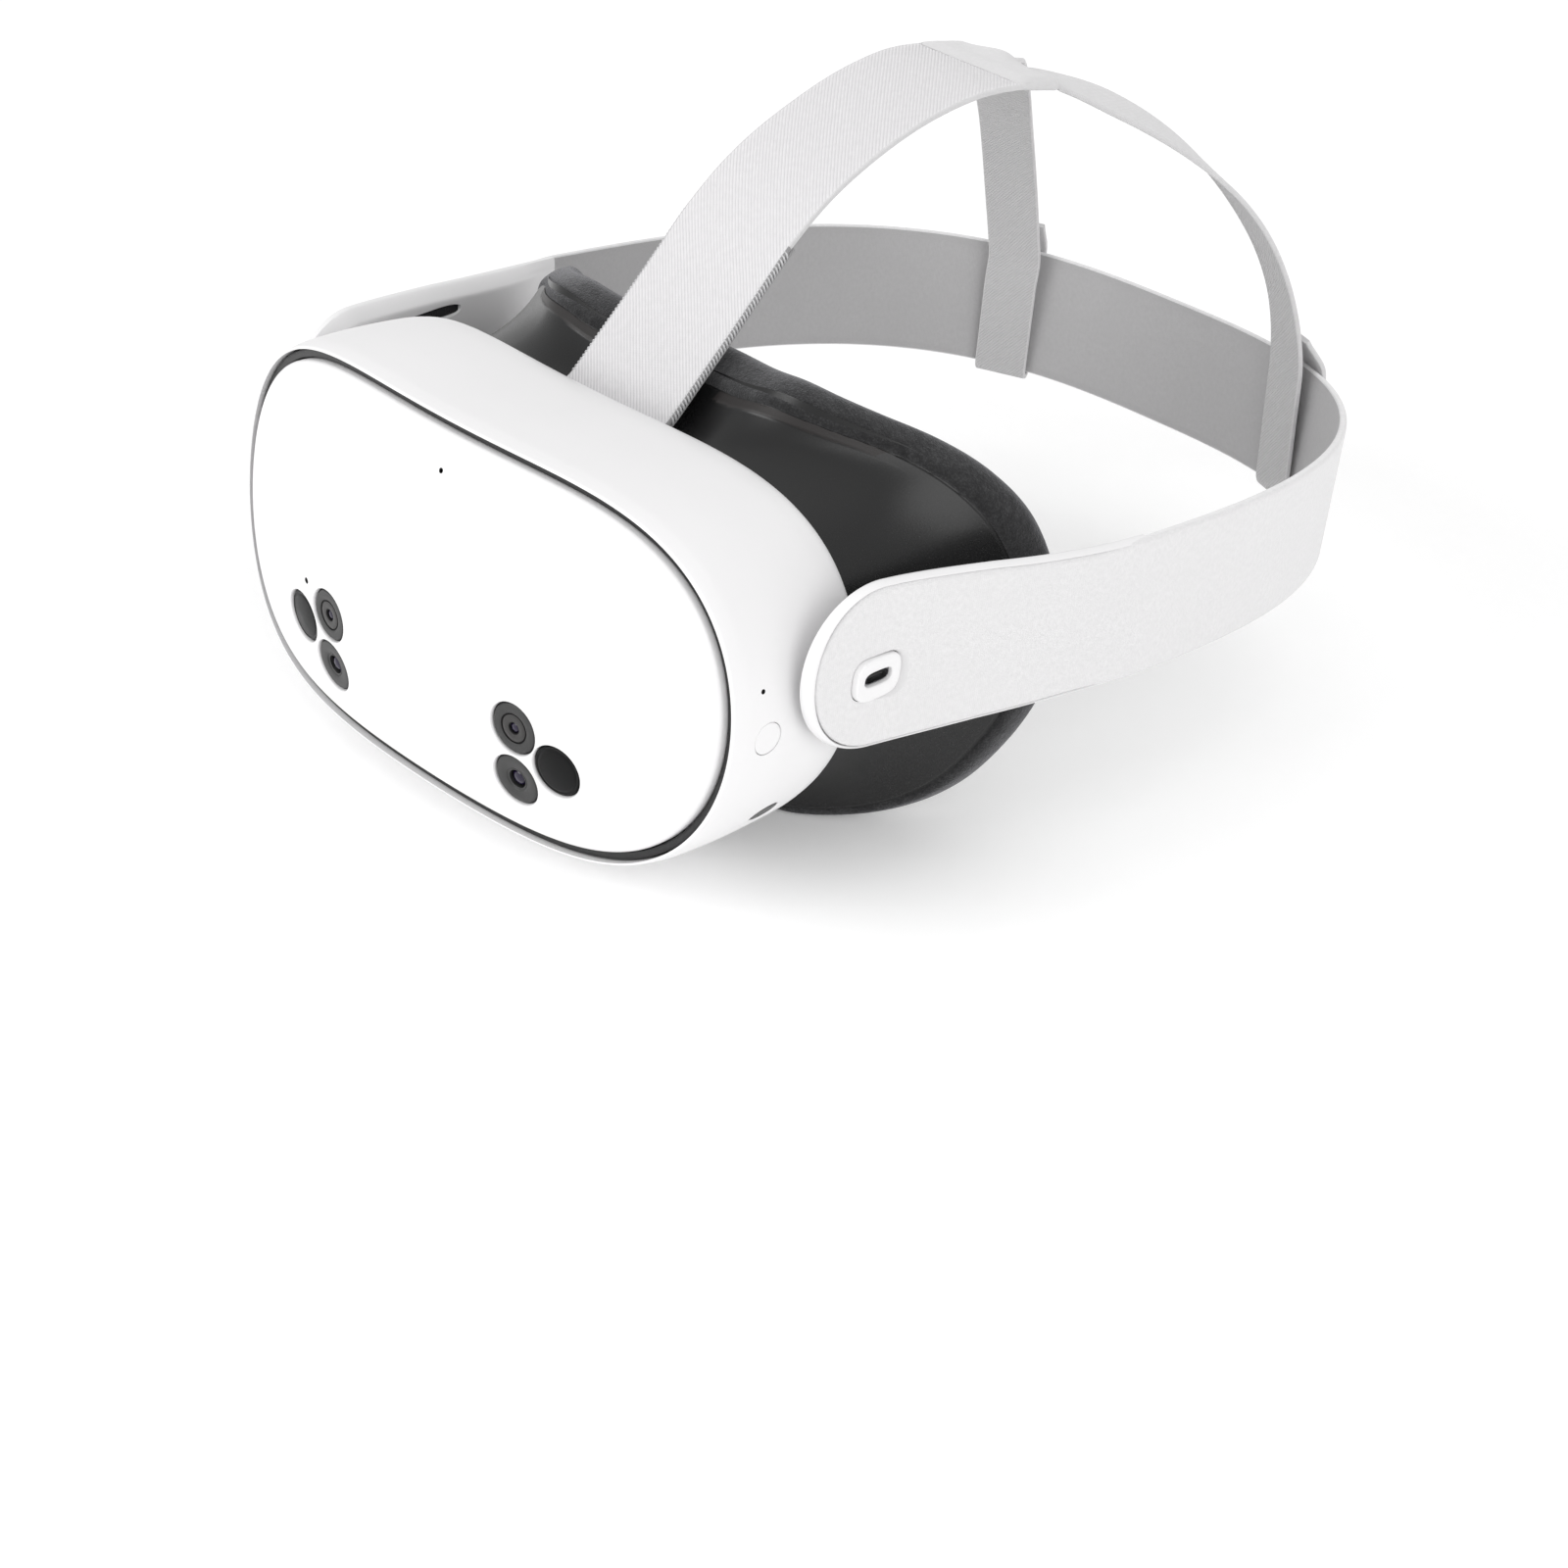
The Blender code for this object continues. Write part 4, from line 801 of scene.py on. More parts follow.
# ============================================================= facial interface
FOAM_LINE = [(0, 82, 51), (15, 81.8, 51.5), (29, 81.4, 51.4), (39.5, 81.8, 52.0), (48, 85, 50.4), (56.5, 91.5, 47.4),
             (66.5, 101, 43), (77, 109.6, 36.8), (84.6, 116.8, 28.3), (89, 122, 17), (91.3, 125.3, 4.2),
             (92, 126, -8.8), (91.2, 123, -21.4), (88.3, 116.6, -32.4), (83.6, 108, -42), (75.6, 98, -48.6),
             (65.6, 87, -51.5), (55, 79, -52), (44, 74.5, -48), (34, 73.5, -40), (25, 74, -30), (14, 75.5, -21),
             (0, 76.5, -17.5)]
FOAM_R = 6.2
RIM = 360
line = FOAM_LINE + [(-x, y, z) for x, y, z in reversed(FOAM_LINE[1:-1])]
rim = resample(catmull(line, 24, True), RIM, True)
tangent = np.roll(rim, -3, 0) - np.roll(rim, 3, 0)
tangent /= np.linalg.norm(tangent, axis=1)[:, None]
rim_out = np.stack([-tangent[:, 2], np.zeros(RIM), tangent[:, 0]], -1)
rim_out /= np.linalg.norm(rim_out, axis=1)[:, None]
if rim_out[0, 2] < 0:
    rim_out = -rim_out
base2 = outline(82.5, 42.0, 41.5, RIM)
base_n = np.stack([base2[:, 0], np.zeros(RIM), base2[:, 1] * 3], -1)
base_n /= np.linalg.norm(base_n, axis=1)[:, None]


def frame_ring(t, off, extra=None):
    """Ring of the flared frame: t = 0 in the visor, t = 1 at the cushion."""
    b = np.stack([base2[:, 0], 48.4 + 8.0 * (np.abs(base2[:, 0]) / 84) ** 4, base2[:, 1]], -1)
    e = rim + np.array([0, -(FOAM_R + 0.4), 0]) + rim_out * (FOAM_R - 1.4)
    f = max(t, 0.0) ** 2.1
    q = b + (e - b) * f
    q[:, 1] = b[:, 1] + (e[:, 1] - b[:, 1]) * t
    valley = np.clip(1 - (q[:, 0] / 46) ** 2, 0, 1) ** 1.7 * (5.5 * math.sin(math.pi * t) + 3.0 * t * t)
    q[:, 2] -= np.where(q[:, 2] > 0, valley, 0.0)
    n = base_n * (1 - f) + rim_out * f
    n /= np.linalg.norm(n, axis=1)[:, None]
    d = off if extra is None else off - extra
    return q - n * (d[:, None] if hasattr(d, "__len__") else d)


# where the cushion's collar ends on the frame, as a share of its length
ax = np.abs(rim[:, 0])
seat_t = np.where(rim[:, 2] > 0, np.interp(ax, [0, 20, 41, 54, 64, 84, 92], [0.935, 0.918, 0.888, 0.893, 0.92, 0.945, 0.965]), 0.968)
for _ in range(40):
    seat_t = (np.roll(seat_t, 1) + 2 * seat_t + np.roll(seat_t, -1)) / 4


def frame_at(tv, off):
    """Like frame_ring, but with its own t for every point of the rim."""
    out = np.zeros((RIM, 3))
    grid = np.linspace(0.6, 1.0, 81)
    stack = np.array([frame_ring(g, off) for g in grid])
    pos = np.clip((tv - 0.6) / 0.005, 0, 79.999)
    lo = pos.astype(int)
    f = (pos - lo)[:, None]
    i = np.arange(RIM)
    return stack[lo, i] * (1 - f) + stack[lo + 1, i] * f


# raised lip that runs beside the cushion over the brow and fades at the temple
lip_weight = np.where(rim[:, 2] > 0, smooth((ax - 20) / 5) * (1 - smooth((ax - 50) / 24)), 0.0)
levels, kinds, outer_rings = [], [], []
for t in np.linspace(0.0, 1.0, 150):
    up = smooth((t - (seat_t - 0.088)) / 0.014) * (1 - smooth((t - (seat_t - 0.018)) / 0.010))
    dip = 0.30 * np.exp(-((t - (seat_t - 0.005)) / 0.007) ** 2)
    outer_rings.append(frame_ring(t, 0.0, 0.5 * up * lip_weight - dip))
    kinds.append((t > seat_t - 0.086) & (t < seat_t - 0.010) & (lip_weight > 0.30))
inner_rings = [frame_ring(t, 2.0) for t in np.linspace(1.0, 0.0, 24)]
V, F = skin(outer_rings + inner_rings, close=True)
fm = []
for i in range(len(outer_rings) + len(inner_rings)):
    if i < len(outer_rings) - 1:
        fm += [1 if kinds[i][j] else 0 for j in range(RIM)]
    else:
        fm += [2] * RIM
make("interface_shell", V, F, [SATIN, LIP, SATIN_INNER], "facial_interface", fmat=fm, stands=("interface_frame",), slot="dark_satin", sharp=50)

# cushion: a padded roll whose cover is pulled forward over the frame's rim
rng = np.random.default_rng(5)
wave = np.zeros(RIM)
kk = np.arange(RIM)
for h in range(3, 40):
    wave += rng.normal() * np.cos(2 * math.pi * kk * h / RIM + rng.uniform(0, 6.28)) / h
wave = wave / np.abs(wave).max()


def roll_ring(a, r=FOAM_R, lump=0.012):
    k = (1 + lump * wave)[:, None] * r
    return rim + rim_out * (math.cos(a) * k) + np.array([0, 1.0, 0]) * (math.sin(a) * k)


rings = [roll_ring(math.radians(a)) for a in np.linspace(95, 0, 12)]
side = roll_ring(math.radians(-8))
collar = frame_at(np.minimum(seat_t + 0.030, 0.995), -0.62)
for f in (0.25, 0.5, 0.75):
    g = f * f * (3 - 2 * f)
    rings.append(side * (1 - g) + collar * g + rim_out * (0.35 * math.sin(math.pi * f)))
rings += [collar, frame_at(seat_t + 0.018, -0.60), frame_at(seat_t + 0.009, -0.52), frame_at(seat_t + 0.004, -0.36), frame_at(seat_t + 0.001, -0.10),
          frame_at(seat_t, 0.25), frame_at(seat_t + 0.012, 0.6), frame_at(np.full(RIM, 0.995), 0.8)]
rings += [rim + rim_out * a + np.array([0, b, 0]) for a, b in ((2.6, -6.1), (0.6, -6.3), (-1.6, -6.1))]
rings += [roll_ring(math.radians(a)) for a in np.linspace(250, 107, 16)]
rings = np.array(rings)
V, F = skin(rings, close=True)
cushion = make("face_cushion", V, F, PLUSH, stands=("face_foam",), slot="foam_fabric", sharp=80)


def simulate(obj, fixed, cap, pressure=3.5, frames=20):
    """Inflates a closed fabric tube a little; `fixed` gives each vertex's
    pin weight, and no vertex moves farther than `cap` metres."""
    start = np.array([v.co[:] for v in obj.data.vertices])
    group = obj.vertex_groups.new(name="pin")
    for i, w in enumerate(fixed):
        group.add([i], float(w), "REPLACE")
    mod = obj.modifiers.new("Cloth", "CLOTH")
    s = mod.settings
    s.quality = 4
    s.mass = 0.15
    s.tension_stiffness = 30
    s.compression_stiffness = 30
    s.shear_stiffness = 15
    s.bending_stiffness = 0.6
    s.use_pressure = True
    s.uniform_pressure_force = pressure
    s.vertex_group_mass = "pin"
    s.effector_weights.gravity = 0.0
    mod.collision_settings.use_collision = False
    mod.collision_settings.use_self_collision = False
    mod.point_cache.frame_start, mod.point_cache.frame_end = 1, frames
    for fnum in range(1, frames + 1):
        bpy.context.scene.frame_set(fnum)
    dg = bpy.context.evaluated_depsgraph_get()
    got = obj.evaluated_get(dg).to_mesh()
    end = np.array([v.co[:] for v in got.vertices])
    obj.evaluated_get(dg).to_mesh_clear()
    obj.modifiers.clear()
    obj.vertex_groups.clear()
    bpy.context.scene.frame_set(1)
    move = np.nan_to_num(end - start)
    size = np.linalg.norm(move, axis=1)
    move *= np.minimum(1.0, cap / np.maximum(size, 1e-9))[:, None]
    for v, p in zip(obj.data.vertices, start + move):
        v.co = p
    obj.data.update()
    return float(size.max())


b = np.array([v.co[:] for v in cushion.data.vertices]) / 0.001 - SHIFT
near = ((b[:, None, ::2] - rim[None, ::4, ::2]) ** 2).sum(-1).argmin(1) * 4
depth = b[:, 1] - rim[near, 1]
pin = np.clip(1.0 - (depth + 3.6) / 2.4, 0.0, 1.0)
pin = np.maximum(pin, 0.25 * np.clip((np.sin(near / RIM * 2 * math.pi * 46) - 0.86) / 0.14, 0, 1))
simulate(cushion, pin, 0.0011)
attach(cushion, "facial_interface")


# ================================================================== strap arms
def arm_x(y):
    y = np.asarray(y, float)
    L = BAND_START_Y - 27.0
    t = np.clip((y - 27.0) / L, 0, 1)
    a, b, ma, mb = 100.2, BAND_HALF_W, 0.06 * L, 0.03 * L
    return (2 * t ** 3 - 3 * t * t + 1) * a + (t ** 3 - 2 * t * t + t) * ma + (-2 * t ** 3 + 3 * t * t) * b + (t ** 3 - t * t) * mb


def arm_half(y):
    t = np.clip((np.asarray(y, float) - PIVOT_Y) / 76.0, 0, 1)
    return 22.7 + (BAND_HEIGHT / 2 - 22.7) * (3 * t * t - 2 * t ** 3)


def cover_half(y):
    return arm_half(y) - 1.0 * (1 - smooth((np.asarray(y, float) - 118) / 22))


def band_z(y):
    y = np.asarray(y, float)
    return 14.66 - 0.048 * (y - 25) - np.where(y < 25, 1.6, 1.6 * np.maximum(0.0, 1 - (y - 25) / 60.0))


def arm_z(y):
    return band_z(y) + 1.1 * (1 - smooth((np.asarray(y, float) - 48) / 55.0))


def arm_depth(y):
    t = np.clip((np.asarray(y, float) - 27) / 35.0, 0, 1)
    return 4.2 + 2.2 * (3 * t * t - 2 * t ** 3)


def lozenge(stations, layers, rows, half_of, nose_r, offset_of, spread=0.0):
    """Body lying along a path: `stations` are (kind, value, side, point(y)),
    layered through its thickness, with rounded noses.  Returns vertices,
    faces, UVs in millimetres and a marker for inner, side and outer faces."""
    K = len(stations)
    verts, uvs = [], []
    for li, (u, d) in enumerate(layers):
        up, down, s_acc = [], [], []
        for kind, value, place in stations:
            if kind == "nose":
                e = d * (1 + spread * math.cos(value))
                y = PIVOT_Y - (nose_r - e) * math.cos(value)
                h = (float(half_of(PIVOT_Y)) - d) * math.sin(value)
                p, nrm = place(y)
            else:
                p, nrm = place(value)
                y = p[1]
                h = max(float(half_of(y)) - d, 0.1)
            q = p + nrm * offset_of(y, u)
            zc = float(arm_z(y))
            up.append([q[0], q[1], zc + h])
            down.append([q[0], q[1], zc - h])
        verts.append((np.array(up), np.array(down)))
    mid = verts[0]
    centre = (mid[0] + mid[1]) / 2
    s = np.concatenate([[0], np.cumsum(np.linalg.norm(np.diff(centre[:, :2], axis=0), axis=1))])
    V, UV, F, M = [], [], [], []
    L = len(layers)
    index = np.zeros((L, 2, K), int)
    for li in range(L):
        for side in (0, 1):
            for k in range(K):
                index[li, side, k] = len(V)
                p = verts[li][side][k]
                V.append(p)
                extra = (li / (L - 1) * 3.0) * (1 if side == 0 else -1)
                UV.append((s[k], p[2] + extra))
    loop = [(0, k) for k in range(K)] + [(1, k) for k in range(K - 1, -1, -1)]
    for li in range(L - 1):
        for a in range(len(loop)):
            i, j = loop[a], loop[(a + 1) % len(loop)]
            F.append((index[li][i], index[li][j], index[li + 1][j], index[li + 1][i]))
            M.append(1)
    for li, mark in ((0, 2), (L - 1, 0)):
        prev = list(index[li, 0])
        for r in range(1, rows + 1):
            if r == rows:
                cur = list(index[li, 1])
            else:
                cur = []
                f = r / rows
                for k in range(K):
                    a, b = verts[li][0][k], verts[li][1][k]
                    cur.append(len(V))
                    p = a * (1 - f) + b * f
                    V.append(p)
                    UV.append((s[k], p[2]))
            for k in range(K - 1):
                F.append((prev[k], prev[k + 1], cur[k + 1], cur[k]))
                M.append(mark)
            prev = cur
    return np.array(V), F, np.array(UV), M


def on_arm(sx):
    def place(y):
        slope = float(arm_x(y + 0.5) - arm_x(y - 0.5))
        n = np.array([sx * 1.0, -slope, 0.0])
        return np.array([sx * float(arm_x(y)), y, 0.0]), n / np.linalg.norm(n)
    return place


# rigid arms: white moulding whose rim frames the fabric
for tag, sx in (("left", 1), ("right", -1)):
    place = on_arm(sx)
    st = [("nose", math.radians(a), place) for a in np.linspace(0, 88, 30)]
    st += [("path", y, place) for y in np.linspace(PIVOT_Y, ARM_END_Y, 44)]
    lay = [("out", -1.95, 2.6), ("out", -1.95, 1.6), ("out", -1.9, 1.05), ("out", -1.1, 0.93), ("out", -0.42, 0.93), ("out", -0.24, 0.80),
           ("out", -0.30, 0.66), ("out", -0.52, 0.46), ("out", -0.88, 0.26), ("out", -1.4, 0.09), ("out", -2.0, 0.0), ("out", -2.7, 0.0),
           ("mix", 0.12, 0.25), ("mix", 0.32, 0.9), ("mix", 0.55, 1.8), ("mix", 0.76, 2.65), ("in", 0.42, 3.2), ("in", 0.18, 3.55), ("in", 0.04, 4.1), ("in", 0.0, 4.9)]
    codes = [((kind, v), d) for kind, v, d in lay]

    def offset(y, code):
        total = float(arm_depth(y)) * (1 - 0.50 * float(smooth((y - 112) / 25.0)))
        kind, v = code
        if kind == "out":
            return max(v, -total * 0.8)
        if kind == "mix":
            return -(min(2.7, total * 0.8) + max(total - 2.7, 0.2 * total) * v)
        return -(total - v * min(1.0, total / 5.0))

    V, F, UV, M = lozenge(st, codes, 14, arm_half, 22.2, offset, 2.0)
    arm = make("arm_moulding_" + tag, V, F, [WHITE, WHITE_INNER], fmat=[0] * len(F), uv=UV,
               stands=("arm_" + tag,), slot="white_shell", sharp=42)
    # pocket for the speaker in the inner face
    rings = []
    for d, g in ((-2.0, 0.45), (-0.1, 0.3), (0.3, 0.0), (3.2, 0.0)):
        ring = []
        for k in range(64):
            a = 2 * math.pi * k / 64
            y = 76.5 + (16.4 + g) * float(spow(math.cos(a), 0.5 if g == 0 else 0.5))
            x0 = float(arm_x(y) - arm_depth(y))
            ring.append((sx * (x0 + d), y, float(band_z(y)) + 14.8 + (1.85 + g) * float(spow(math.sin(a), 0.75))))
        rings.append(ring)
    tools = [(skin(rings), WHITE)]
    if tag == "left":
        px = float(arm_x(PIVOT_Y))
        tools.append((skin([stadium_ring(px - 3.2, 8.0, 6.0, PIVOT_Y, PIVOT_Z), stadium_ring(px + 3, 8.0, 6.0, PIVOT_Y, PIVOT_Z)]), WHITE))
    cut(arm, tools, 42)
    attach(arm, "strap_assembly" if tag == "left" else "right_arm")


# ============================================================ fabric side band
def band_curve():
    ys = np.linspace(ARM_END_Y, BAND_START_Y, 6)
    left = np.stack([arm_x(ys), ys], -1)
    a = np.linspace(0, math.pi, 2200)[1:-1]
    rear_pts = np.stack([BAND_HALF_W * spow(np.cos(a), 2 / BAND_POWER), BAND_START_Y + BAND_LEN * np.abs(np.sin(a)) ** (2 / BAND_POWER)], -1)
    right = left[::-1] * np.array([-1, 1])
    return np.concatenate([left, rear_pts, right])


curve = resample(band_curve(), 420, False)
curve_t = np.gradient(curve, axis=0)
curve_t /= np.linalg.norm(curve_t, axis=1)[:, None]
curve_n = np.stack([curve_t[:, 1], -curve_t[:, 0]], -1)


def on_curve(k):
    def place(_):
        return np.array([curve[k, 0], curve[k, 1], 0.0]), np.array([curve_n[k, 0], curve_n[k, 1], 0.0])
    return place


left_place, right_place = on_arm(1), on_arm(-1)
st = [("nose", math.radians(a), left_place) for a in np.linspace(0, 88, 30)]
st += [("path", y, left_place) for y in np.linspace(PIVOT_Y, ARM_END_Y - 0.8, 56)]
st += [("path", 0.0, on_curve(k)) for k in range(0, 420, 2)]
st += [("path", y, right_place) for y in np.linspace(PIVOT_Y, ARM_END_Y - 0.8, 56)[::-1]]
st += [("nose", math.radians(a), right_place) for a in np.linspace(0, 88, 30)[::-1]]
lay = []
R_EDGE = 0.78
for k in range(8):
    a = math.pi / 2 * k / 7
    lay.append((-R_EDGE * (1 - math.cos(a)), 1.25 * (1 - math.sin(a))))
lay += [(("in", 0.35), 0.0), (("in", 0.1), 0.12), (("in", 0.0), 0.45)]


def band_offset(y, u):
    total = 1.42 + 0.78 * float(smooth((y - 128) / 14.0))
    if isinstance(u, tuple):
        return -(total - u[1])
    return u


V, F, UV, M = lozenge(st, lay, 18, cover_half, 19.2, band_offset)
side_of = {2: 0, 1: 0, 0: 1}
band = make("side_band_fabric", V, F, [JERSEY, JERSEY_INNER], uv=UV, fmat=[side_of[m] for m in M],
            stands=("side_band", "arm_cover_left", "arm_cover_right"), slot="strap_fabric", sharp=60)
px = float(arm_x(PIVOT_Y))
cut(band, [(skin([stadium_ring(px - 5, 8.05, 6.05, PIVOT_Y, PIVOT_Z), stadium_ring(px - 0.3, 8.05, 6.05, PIVOT_Y, PIVOT_Z),
                  stadium_ring(px + 0.1, 8.35, 6.35, PIVOT_Y, PIVOT_Z), stadium_ring(px + 1.5, 9.6, 7.6, PIVOT_Y, PIVOT_Z)]), JERSEY)], 60)
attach(band, "strap_assembly")

# charging port
col = [(-2.9, 7.82, 5.82), (0.25, 7.82, 5.82), (0.48, 7.74, 5.74), (0.64, 7.58, 5.58), (0.72, 7.3, 5.3), (0.66, 6.2, 4.1), (0.58, 5.4, 2.7),
       (0.50, 5.05, 2.25), (0.36, 4.86, 2.05), (0.10, 4.76, 1.96), (-2.9, 4.75, 1.95)]
V, F = skin([stadium_ring(px + a, b, c, PIVOT_Y, PIVOT_Z) for a, b, c in col], close=True)
make("port_collar_ring", V, F, WHITE, "strap_assembly", stands=("port_collar",), slot="white_shell", sharp=50)
make("port_liner", *skin([stadium_ring(px - 4.2, 4.5, 1.7, PIVOT_Y, PIVOT_Z), stadium_ring(px - 0.55, 4.5, 1.7, PIVOT_Y, PIVOT_Z), stadium_ring(px - 0.45, 4.42, 1.62, PIVOT_Y, PIVOT_Z),
                          stadium_ring(px - 0.45, 4.2, 1.42, PIVOT_Y, PIVOT_Z), stadium_ring(px - 3.9, 4.1, 1.32, PIVOT_Y, PIVOT_Z), stadium_ring(px - 3.9, 1.0, 0.4, PIVOT_Y, PIVOT_Z)]),
     STEEL_DARK, "strap_assembly", stands=("port_shell",), slot="steel", sharp=50)


# ==================================================================== top strap
STRAP_W, STRAP_T = 37.5, 1.6
STRAP_LINE = [(47.5, 43.9), (50.5, 42.9), (53.5, 42.5), (56.8, 43.4), (60.0, 45.9), (67.5, 53.5), (76.5, 62.5), (86.5, 73), (97, 84), (110.5, 94.5), (127, 103), (146.5, 109.9), (166, 113.5), (182, 113.3)]
JOIN = [(187.0, 112.6), (192.0, 111.8)]


def yz_frame(line):
    """Points, tangents and outward normals of a curve in the middle plane."""
    p = np.asarray(line, float)
    t = np.gradient(p, axis=0)
    t /= np.linalg.norm(t, axis=1)[:, None]
    return p, t, np.stack([-t[:, 1], t[:, 0]], -1)


def strap_profile(width, thick, cols, edge=0.55, inner_cols=14, steps=5):
    """Closed section: (across, through, kind), outer face first."""
    pts = []
    w, h = width / 2, thick / 2
    for x in np.linspace(-w + edge, w - edge, cols):
        pts.append((x, h, 0))
    for k in range(1, steps + 1):
        a = math.pi / 2 * (1 - k / steps)
        pts.append((w - edge + edge * math.cos(a), h - edge + edge * math.sin(a), 2))
    for k in range(steps + 1):
        a = math.pi / 2 * k / steps
        pts.append((w - edge + edge * math.cos(a), -h + edge - edge * math.sin(a), 2))
    for x in np.linspace(w - edge, -w + edge, inner_cols)[1:]:
        pts.append((x, -h, 1))
    for k in range(1, steps + 1):
        a = math.pi / 2 * (1 - k / steps)
        pts.append((-w + edge - edge * math.cos(a), -h + edge - edge * math.sin(a), 2))
    for k in range(steps):
        a = math.pi / 2 * k / steps
        pts.append((-w + edge - edge * math.cos(a), h - edge + edge * math.sin(a), 2))
    return pts


def sweep(name, centres, across, through, width, thick, mats, cols=24, body=None, stands=(), slot="ribbed_webbing", ribs=0.0, width_of=None, edge=0.55,
          pitch=0.89, angle=40.0, lift=None, sharp=60, sewn_to=0.0):
    prof = strap_profile(width, thick, cols, edge)
    R, C = len(centres), len(prof)
    s = np.concatenate([[0], np.cumsum(np.linalg.norm(np.diff(centres, axis=0), axis=1))])
    P = np.array([(a, b) for a, b, _ in prof])
    kind = [k for _, _, k in prof]
    around = np.concatenate([[0], np.cumsum(np.linalg.norm(np.diff(P, axis=0), axis=1))])
    V = np.zeros((R, C, 3))
    UV = np.zeros((R, C, 2))
    ca, sa = math.cos(math.radians(angle)), math.sin(math.radians(angle))
    outer_face = np.array([k == 0 for k in kind])
    for r in range(R):
        k = 1.0 if width_of is None else width_of(s[r] / s[-1])
        a, b = P[:, 0] * k, P[:, 1].copy()
        if ribs:
            fade = np.clip((width / 2 - 0.9 - np.abs(a)) / 0.8, 0, 1) * outer_face
            b = b + ribs * fade * np.sin(2 * math.pi * (a * ca + s[r] * sa) / pitch)
        if lift is not None:
            b = b + lift(s[r], s[-1], a, b)
        V[r] = centres[r] + np.outer(a, across[r]) + np.outer(b, through[r])
        UV[r, :, 0] = around
        UV[r, :, 1] = s[r]
    F = net(R, C, True)
    M = []
    for r in range(R - 1):
        for c in range(C):
            # side edges along the sewn foot take WEB_SHADE: painted shade between the two layers
            if sewn_to and s[r] < sewn_to and kind[c] == 2 and kind[(c + 1) % C] == 2:
                M.append(3)
                continue
            M.append(0 if kind[c] == 0 and kind[(c + 1) % C] == 0 else (1 if kind[c] == 1 or (kind[(c + 1) % C] == 1) else 2))
    F.append(list(range(C - 1, -1, -1)))
    F.append(list(range((R - 1) * C, R * C)))
    M += [2, 2]
    return make(name, V.reshape(-1, 3), F, mats, body, UV.reshape(-1, 2), M, sharp, stands, slot)


fine_line = resample(catmull(STRAP_LINE + JOIN, 24), 600, False)
p2, t2, n2 = yz_frame(fine_line)
centres = np.stack([np.zeros(len(p2)), p2[:, 0], p2[:, 1]], -1)
across = np.repeat(np.array([[1.0, 0, 0]]), len(p2), 0)
through = np.stack([np.zeros(len(p2)), n2[:, 0], n2[:, 1]], -1)
RIBS = 0.085


def strap_roll(s, total, a, b):
    g = float(smooth((s - 0.62 * total) / (0.2 * total)))
    return -0.026 * a * g


strap = sweep("top_strap_webbing", centres, across, through, STRAP_W, STRAP_T, [WEB, WEB_INNER, WEB_EDGE, WEB_SHADE], sewn_to=66.0, cols=128, stands=("top_strap_front",),
              ribs=RIBS, edge=0.5, lift=strap_roll, width_of=lambda f: 1.0 + 0.025 * float(smooth((f - 0.78) / 0.12)) - 0.03 * (1 - float(smooth(f / 0.012))))
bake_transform(strap)
k = 2 * math.pi * np.arange(48) / 48
rings = []
for x, e in ((-20.6, 0.5), (-20.3, 0.15), (-19.9, 0.0), (19.9, 0.0), (20.3, 0.15), (20.6, 0.5)):
    rings.append(np.stack([np.full(48, x), 43.4 + (2.6 - e) * spow(np.cos(k), 0.6), 45.6 + (0.95 - e) * spow(np.sin(k), 0.6)], -1))
make("anchor_bar_moulding", *skin(rings), BARREL, "visor", stands=("strap_anchor_bar",), slot="dark_satin", sharp=50)

# second layer at the foot of the strap, sewn on from behind; its face towards the strap and its edges take WEB_SHADE,
# painted shade between the layers
FOOT = STRAP_LINE[3:9]
tail = resample(catmull(FOOT, 24), 150, False)
p3, t3, n3 = yz_frame(tail)
q2 = (p3 + n3 * (-1.62))[2:]
centres = np.stack([np.zeros(len(q2)), q2[:, 0], q2[:, 1]], -1)
through = np.stack([np.zeros(len(q2)), n3[2:, 0], n3[2:, 1]], -1)
across = np.repeat(np.array([[1.0, 0, 0]]), len(q2), 0)
under = sweep("top_strap_foot_layer", centres, across, through, STRAP_W - 0.5, 1.3, [WEB_SHADE, WEB_INNER, WEB_SHADE], cols=30, stands=("strap_tail",), edge=0.45)
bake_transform(under)


def stitch(a, b, r, out, n=8):
    """One thread float from a to b that rises a little along `out`."""
    a, b, out = np.asarray(a, float), np.asarray(b, float), np.asarray(out, float)
    d = b - a
    L = np.linalg.norm(d)
    d = d / L
    u = out - d * np.dot(out, d)
    u /= np.linalg.norm(u)
    w = np.cross(d, u)
    rings = []
    for f, k in ((-0.06, 0.25), (0.0, 0.75), (0.14, 1.0), (0.5, 1.05), (0.86, 1.0), (1.0, 0.75), (1.06, 0.25)):
        c = a + d * (L * f) + out * (r * 0.7 * math.sin(math.pi * min(1, max(0, f))))
        ang = np.linspace(0, 2 * math.pi, n, endpoint=False)
        rings.append(c + np.outer(np.cos(ang), u) * r * k + np.outer(np.sin(ang), w) * r * k)
    return skin(rings)


